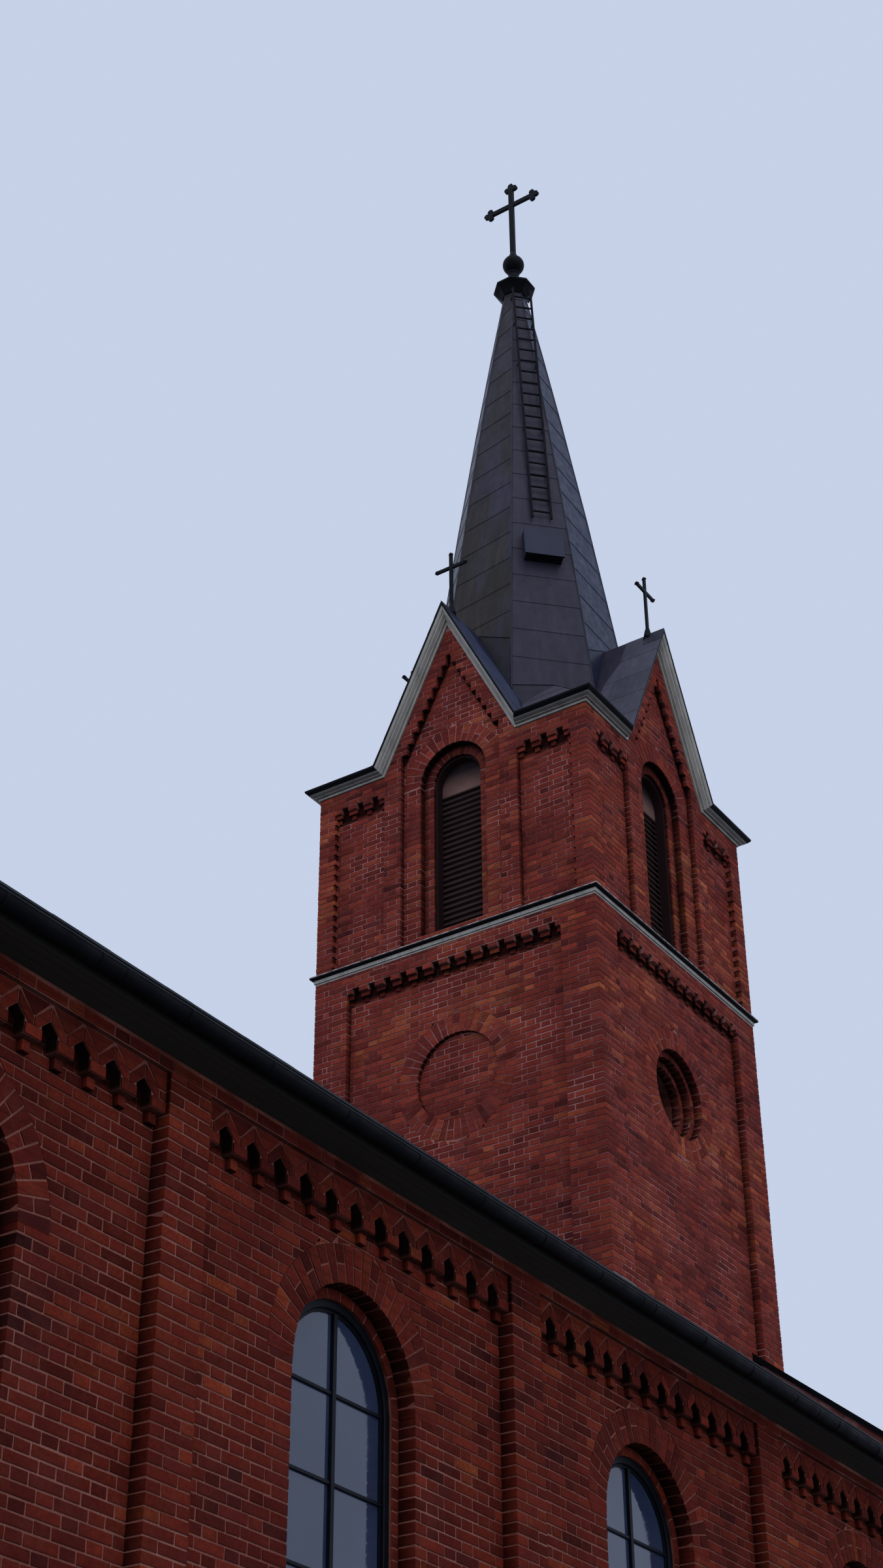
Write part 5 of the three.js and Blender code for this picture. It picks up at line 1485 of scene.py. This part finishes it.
for name, flip in (("left", -1), ("right", 1)):
    parts = [along_nave(outline, *NAVE_INSIDE, flip) for outline in boards]
    soffit = built(f"eaves_boards_{name}", parts, olive)
    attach(soffit, "root")
    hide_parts(f"eaves_{name}")
    parts = [along_nave(arc_band(*GUTTER_BAND), a, min(a + SLEEVE_PITCH, NAVE_FRONT) - 0.003, flip)
             for a in joints]
    parts += [along_nave(arc_band(*SLEEVE_BAND), a - SLEEVE_HALF, a + SLEEVE_HALF, flip) for a in joints[1:]]
    parts += [along_nave(arc_band(*STRAP_BAND), a - STRAP_HALF, a + STRAP_HALF, flip) for a in straps]
    cap = arc_band(0.067, 0.0)[:GUTTER_STEPS + 1]
    parts += [along_nave(cap, a, a + GUTTER_END, flip) for a in (NAVE_REAR, NAVE_FRONT - GUTTER_END)]
    bead = (flip * (GUTTER_Y + 0.0615), GUTTER_Z + 0.004)       # the rolled rim
    parts.append(rod((NAVE_REAR, *bead), (NAVE_FRONT, *bead), BEAD_RADIUS))
    gutter = built(f"gutter_{name}", parts, black_metal, 0.5)
    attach(gutter, "root")


# Nave roof. Grey slates in broken courses on both slopes, a capped ridge, lead flashings where
# the tower comes through, and black sheet copings on the gables.
SLATE_ROW = 0.2
SLATE_WIDE = 0.25
SLATE_GAP = 0.004
SLATE_LAP = 0.012
SLATE_LIFTS = np.array([0.013, 0.013, 0.005, 0.005])
SLATE_COLUMNS = 42          # on each side of the nave's middle
RIDGE_PITCH = 0.9
CAP_HALF = 0.15
FLASHING = 0.17             # height of the lead beside the tower
ROOF_LONG = ROOF_EDGE[0] * np.hypot(1, SLOPE)
TOWER_REAR = AXIS - TOWER_HALF
SLATE_STOP = TOWER_REAR - 0.01
LEAD_THICK = 0.012
ridge_z = roof_over(0)
slope_up = np.array([1, SLOPE]) / np.hypot(1, SLOPE)

slate, tree, surface = material("slate", 0.6)
toned = ramp(tree, tone_of(tree)[1], [(0.1, (0.035, 0.038, 0.045)), (0.5, (0.06, 0.064, 0.074)),
                                      (0.9, (0.095, 0.10, 0.11))])
dirt = times(tree, noise(tree, 25, 5.0), 0.4)
coloured(tree, surface, mix(tree, dirt, toned, (0.03, 0.032, 0.036)))
bumped(tree, surface, noise(tree, 30, 5.0, (1, 0.4, 0.4)), 0.003)
finish_nodes(["nave_roof_left", "nave_roof_right"], slate)


def slates(face, left, right, beside_tower):
    """Slates of one slope: every second row starts half a slate further, and all end at the gables
    or at the tower."""
    rows, columns = np.arange(int(ROOF_LONG / SLATE_ROW) + 1), np.arange(-SLATE_COLUMNS, SLATE_COLUMNS)
    row, column = (grid.ravel() for grid in np.meshgrid(rows, columns))
    start = column * SLATE_WIDE + row % 2 * SLATE_WIDE / 2
    foot = row * SLATE_ROW - SLATE_LAP
    top = np.minimum(foot + SLATE_ROW + SLATE_LAP, ROOF_LONG - 0.02)
    tiles = upright(start, start + SLATE_WIDE - SLATE_GAP, foot, top)
    high = foot > (ROOF_EDGE[0] - TOWER_HALF) / slope_up[0] - SLATE_ROW
    tiles = np.concatenate([trimmed(tiles[:, ~high], left, right),
                            trimmed(tiles[:, high], *beside_tower)], axis=1)
    lift = SLATE_LIFTS + rng.uniform(-0.001, 0.001, (tiles.shape[1], 1))
    return blocks(face, outlines(tiles), 0.0005, lift, 0.001)


rear_in, front_in = NAVE_INSIDE
left_slope = ((0, -ROOF_EDGE[0], ROOF_EDGE[1]), (1, 0, 0), (0, *slope_up))
right_slope = ((0, ROOF_EDGE[0], ROOF_EDGE[1]), (-1, 0, 0), (0, -slope_up[0], slope_up[1]))
for name, face, span, beside in (
    ("left", left_slope, (rear_in, front_in), (rear_in, SLATE_STOP)),
    ("right", right_slope, (-front_in, -rear_in), (-SLATE_STOP, -rear_in)),
):
    covering = block_mesh(f"slates_{name}", [slates(face, *span, beside)], slate, 0.5, 0.2)
    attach(covering, "root")

cap_foot, cap_top = ridge_z - 0.108, ridge_z + 0.014        # its underside; its sheet rises above it
cap = [(-CAP_HALF, cap_foot), (0, cap_top), (CAP_HALF, cap_foot),
       (CAP_HALF, cap_foot + 0.014), (0, cap_top + 0.016), (-CAP_HALF, cap_foot + 0.014)]
parts = [along_nave(cap, a, min(a + RIDGE_PITCH, SLATE_STOP) - 0.004, 1)
         for a in np.arange(rear_in, TOWER_REAR, RIDGE_PITCH)]
lead, tree, surface = material("lead_sheet", 0.6, metallic=0.1)
clouded(tree, surface, noise(tree, 7, 5.0), (0.10, 0.105, 0.115), (0.19, 0.195, 0.205))
bumped(tree, surface, noise(tree, 9, 4.0), 0.008)
rear_side = tower_face(3)
for inner_y, outer_y, depth in ((TOWER_PANEL, TOWER_HALF, 0.0), (0.0, TOWER_PANEL, -TOWER_PANEL_DEPTH)):
    foot_in, foot_out = roof_over(inner_y), roof_over(outer_y)
    for side in (1, -1):
        band = [(side * inner_y, foot_in), (side * outer_y, foot_out),
                (side * outer_y, foot_out + FLASHING), (side * inner_y, foot_in + FLASHING)][::side]
        parts.append(pile(blocks(rear_side, np.array([band]), depth, depth + LEAD_THICK, 0.001)))
low, high = roof_over(TOWER_HALF) - 0.02, roof_over(TOWER_HALF) + FLASHING
for quarter in (0, 2):
    ends = sorted(turned((x - AXIS, 0), -quarter)[0] for x in (TOWER_REAR - LEAD_THICK, front_in))
    for a, b in ((ends[0], min(ends[1], -TOWER_PANEL)), (max(ends[0], TOWER_PANEL), ends[1])):
        if b - a > 0.05:
            parts.append(bars(tower_face(quarter), [(a, b, low, high)], 0.0, LEAD_THICK, 0.001))
flashing = built("roof_leadwork", parts, lead)
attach(flashing, "root")
finish_nodes(["rear_coping", "front_coping_left", "front_coping_right"], black_metal)


# Portal and floors. Two ledged leaves of upright boards with iron straps, fixed shut, a worn
# stone step, a stone floor in the nave and a boarded one under the bells.
LEAF_DEPTH = -0.27
BOARD_WIDE = 0.131
BOARD_COUNT = 6
DOOR_FOOT = 0.155
LEAF_HALF = 0.79
STRAP_WIDE = 0.06
STRAP_FEET = (0.5, 1.35, 2.2)
STRAP_SPANS = ((-0.76, -0.12), (0.12, 0.76))
LOCK = (0.03, 0.09, 1.12, 1.3)          # left, right, low, high
PULL_X = AXIS + TOWER_HALF - 0.235      # the pull handle, in front of the boards
PULL_Y = 0.06
PULL_ENDS = (1.16, 1.28)
oak, tree, surface = material("door_timber", 0.65)
grain = noise(tree, 5, 6.0, (6, 6, 0.6))
clouded(tree, surface, grain, (0.035, 0.022, 0.014), (0.085, 0.052, 0.03))
bumped(tree, surface, grain, 0.002)
front_side = tower_face(1)
left = np.concatenate([first + BOARD_WIDE * np.arange(BOARD_COUNT) for first in (-0.795, 0.009)])
right = left + BOARD_WIDE - 0.004
crown = [DOOR_SPRING + np.sqrt(np.clip(LEAF_HALF ** 2 - u ** 2, 0, None)) for u in (left, right)]
foot = np.full(2 * BOARD_COUNT, DOOR_FOOT)
corners = ((left, foot), (right, foot), (right, crown[1]), (left, crown[0]))
boards = np.stack([np.stack(c, -1) for c in corners], 1)
boards = blocks(front_side, boards, LEAF_DEPTH, LEAF_DEPTH + 0.018, 0.004)
leaves = built("portal_boards", [pile(boards)], oak)
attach(leaves, "root")
straps = [(*span, z, z + STRAP_WIDE) for span in STRAP_SPANS for z in STRAP_FEET]
parts = [bars(front_side, [*straps, LOCK], LEAF_DEPTH + 0.016, LEAF_DEPTH + 0.026, 0.003),
         rod(*((PULL_X, PULL_Y, z) for z in PULL_ENDS), 0.009)]
parts += [rod((PULL_X - 0.015, PULL_Y, z), (PULL_X + 0.007, PULL_Y, z), 0.008) for z in PULL_ENDS]
ironwork = built("portal_ironwork", parts, iron, 0.6)
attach(ironwork, "root")
finish_nodes(["portal_leaf_left", "portal_leaf_right", "belfry_floor"], oak)
stone, tree, surface = material("worn_stone", 0.85)
clouded(tree, surface, noise(tree, 3, 6.0), (0.16, 0.15, 0.135), (0.27, 0.255, 0.235))
bumped(tree, surface, noise(tree, 20, 5.0), 0.004)
finish_nodes(["portal_step", "nave_floor"], stone)


# Ground, light and camera: a plain pale floor, a soft pale sky, and the eye of someone who
# stands before the left rear of the church and looks up at the tower.
FLOOR_REACH = 120.0
FLOOR_Z = -0.004
EYE = (AXIS - 22.806, -13.463, 1.6)
PITCH, HEADING, ROLL = np.radians([34.034, 33.197, 0.409])

floor_mesh = bpy.data.meshes.new("floor")
floor_corners = [(x, y, FLOOR_Z) for x, y in box(-FLOOR_REACH, FLOOR_REACH, -FLOOR_REACH, FLOOR_REACH)]
floor_mesh.from_pydata(floor_corners, [], [(0, 1, 2, 3)])
pale, tree, surface = material("pale_floor", 0.9)
surface.inputs["Base Color"].default_value = (0.30, 0.30, 0.30, 1)
floor = placed("floor", floor_mesh, pale)

world = bpy.data.worlds.new("soft_sky")
bpy.context.scene.world = world
world.use_nodes = True
background = world.node_tree.nodes["Background"]
background.inputs["Color"].default_value = (0.565, 0.64, 0.805, 1)
background.inputs["Strength"].default_value = 1.0

sun_data = bpy.data.lights.new("soft_light", "SUN")
sun_data.energy = 0.5
sun_data.angle = 1.2
sun = bpy.data.objects.new("soft_light", sun_data)
sun.rotation_euler = (0.75, 0.0, -0.80)
bpy.context.scene.collection.objects.link(sun)

ahead = np.array([np.cos(PITCH) * np.cos(HEADING), np.cos(PITCH) * np.sin(HEADING), np.sin(PITCH)])
level_up = np.array([-np.sin(PITCH) * np.cos(HEADING), -np.sin(PITCH) * np.sin(HEADING), np.cos(PITCH)])
level_right = np.array([np.sin(HEADING), -np.cos(HEADING), 0])
view_up = np.cos(ROLL) * level_up + np.sin(ROLL) * level_right
view_right = np.cos(ROLL) * level_right - np.sin(ROLL) * level_up
camera_data = bpy.data.cameras.new("camera")
camera_data.lens = 53.427
camera_data.sensor_width = 36.0
camera_data.clip_end = 500.0
camera = bpy.data.objects.new("camera", camera_data)
matrix = np.eye(4)
matrix[:3, 0], matrix[:3, 1], matrix[:3, 2] = view_right, view_up, -ahead
matrix[:3, 3] = EYE
camera.matrix_world = Matrix(matrix.tolist())
bpy.context.scene.collection.objects.link(camera)
bpy.context.scene.camera = camera
bpy.context.scene.view_settings.view_transform = "Standard"
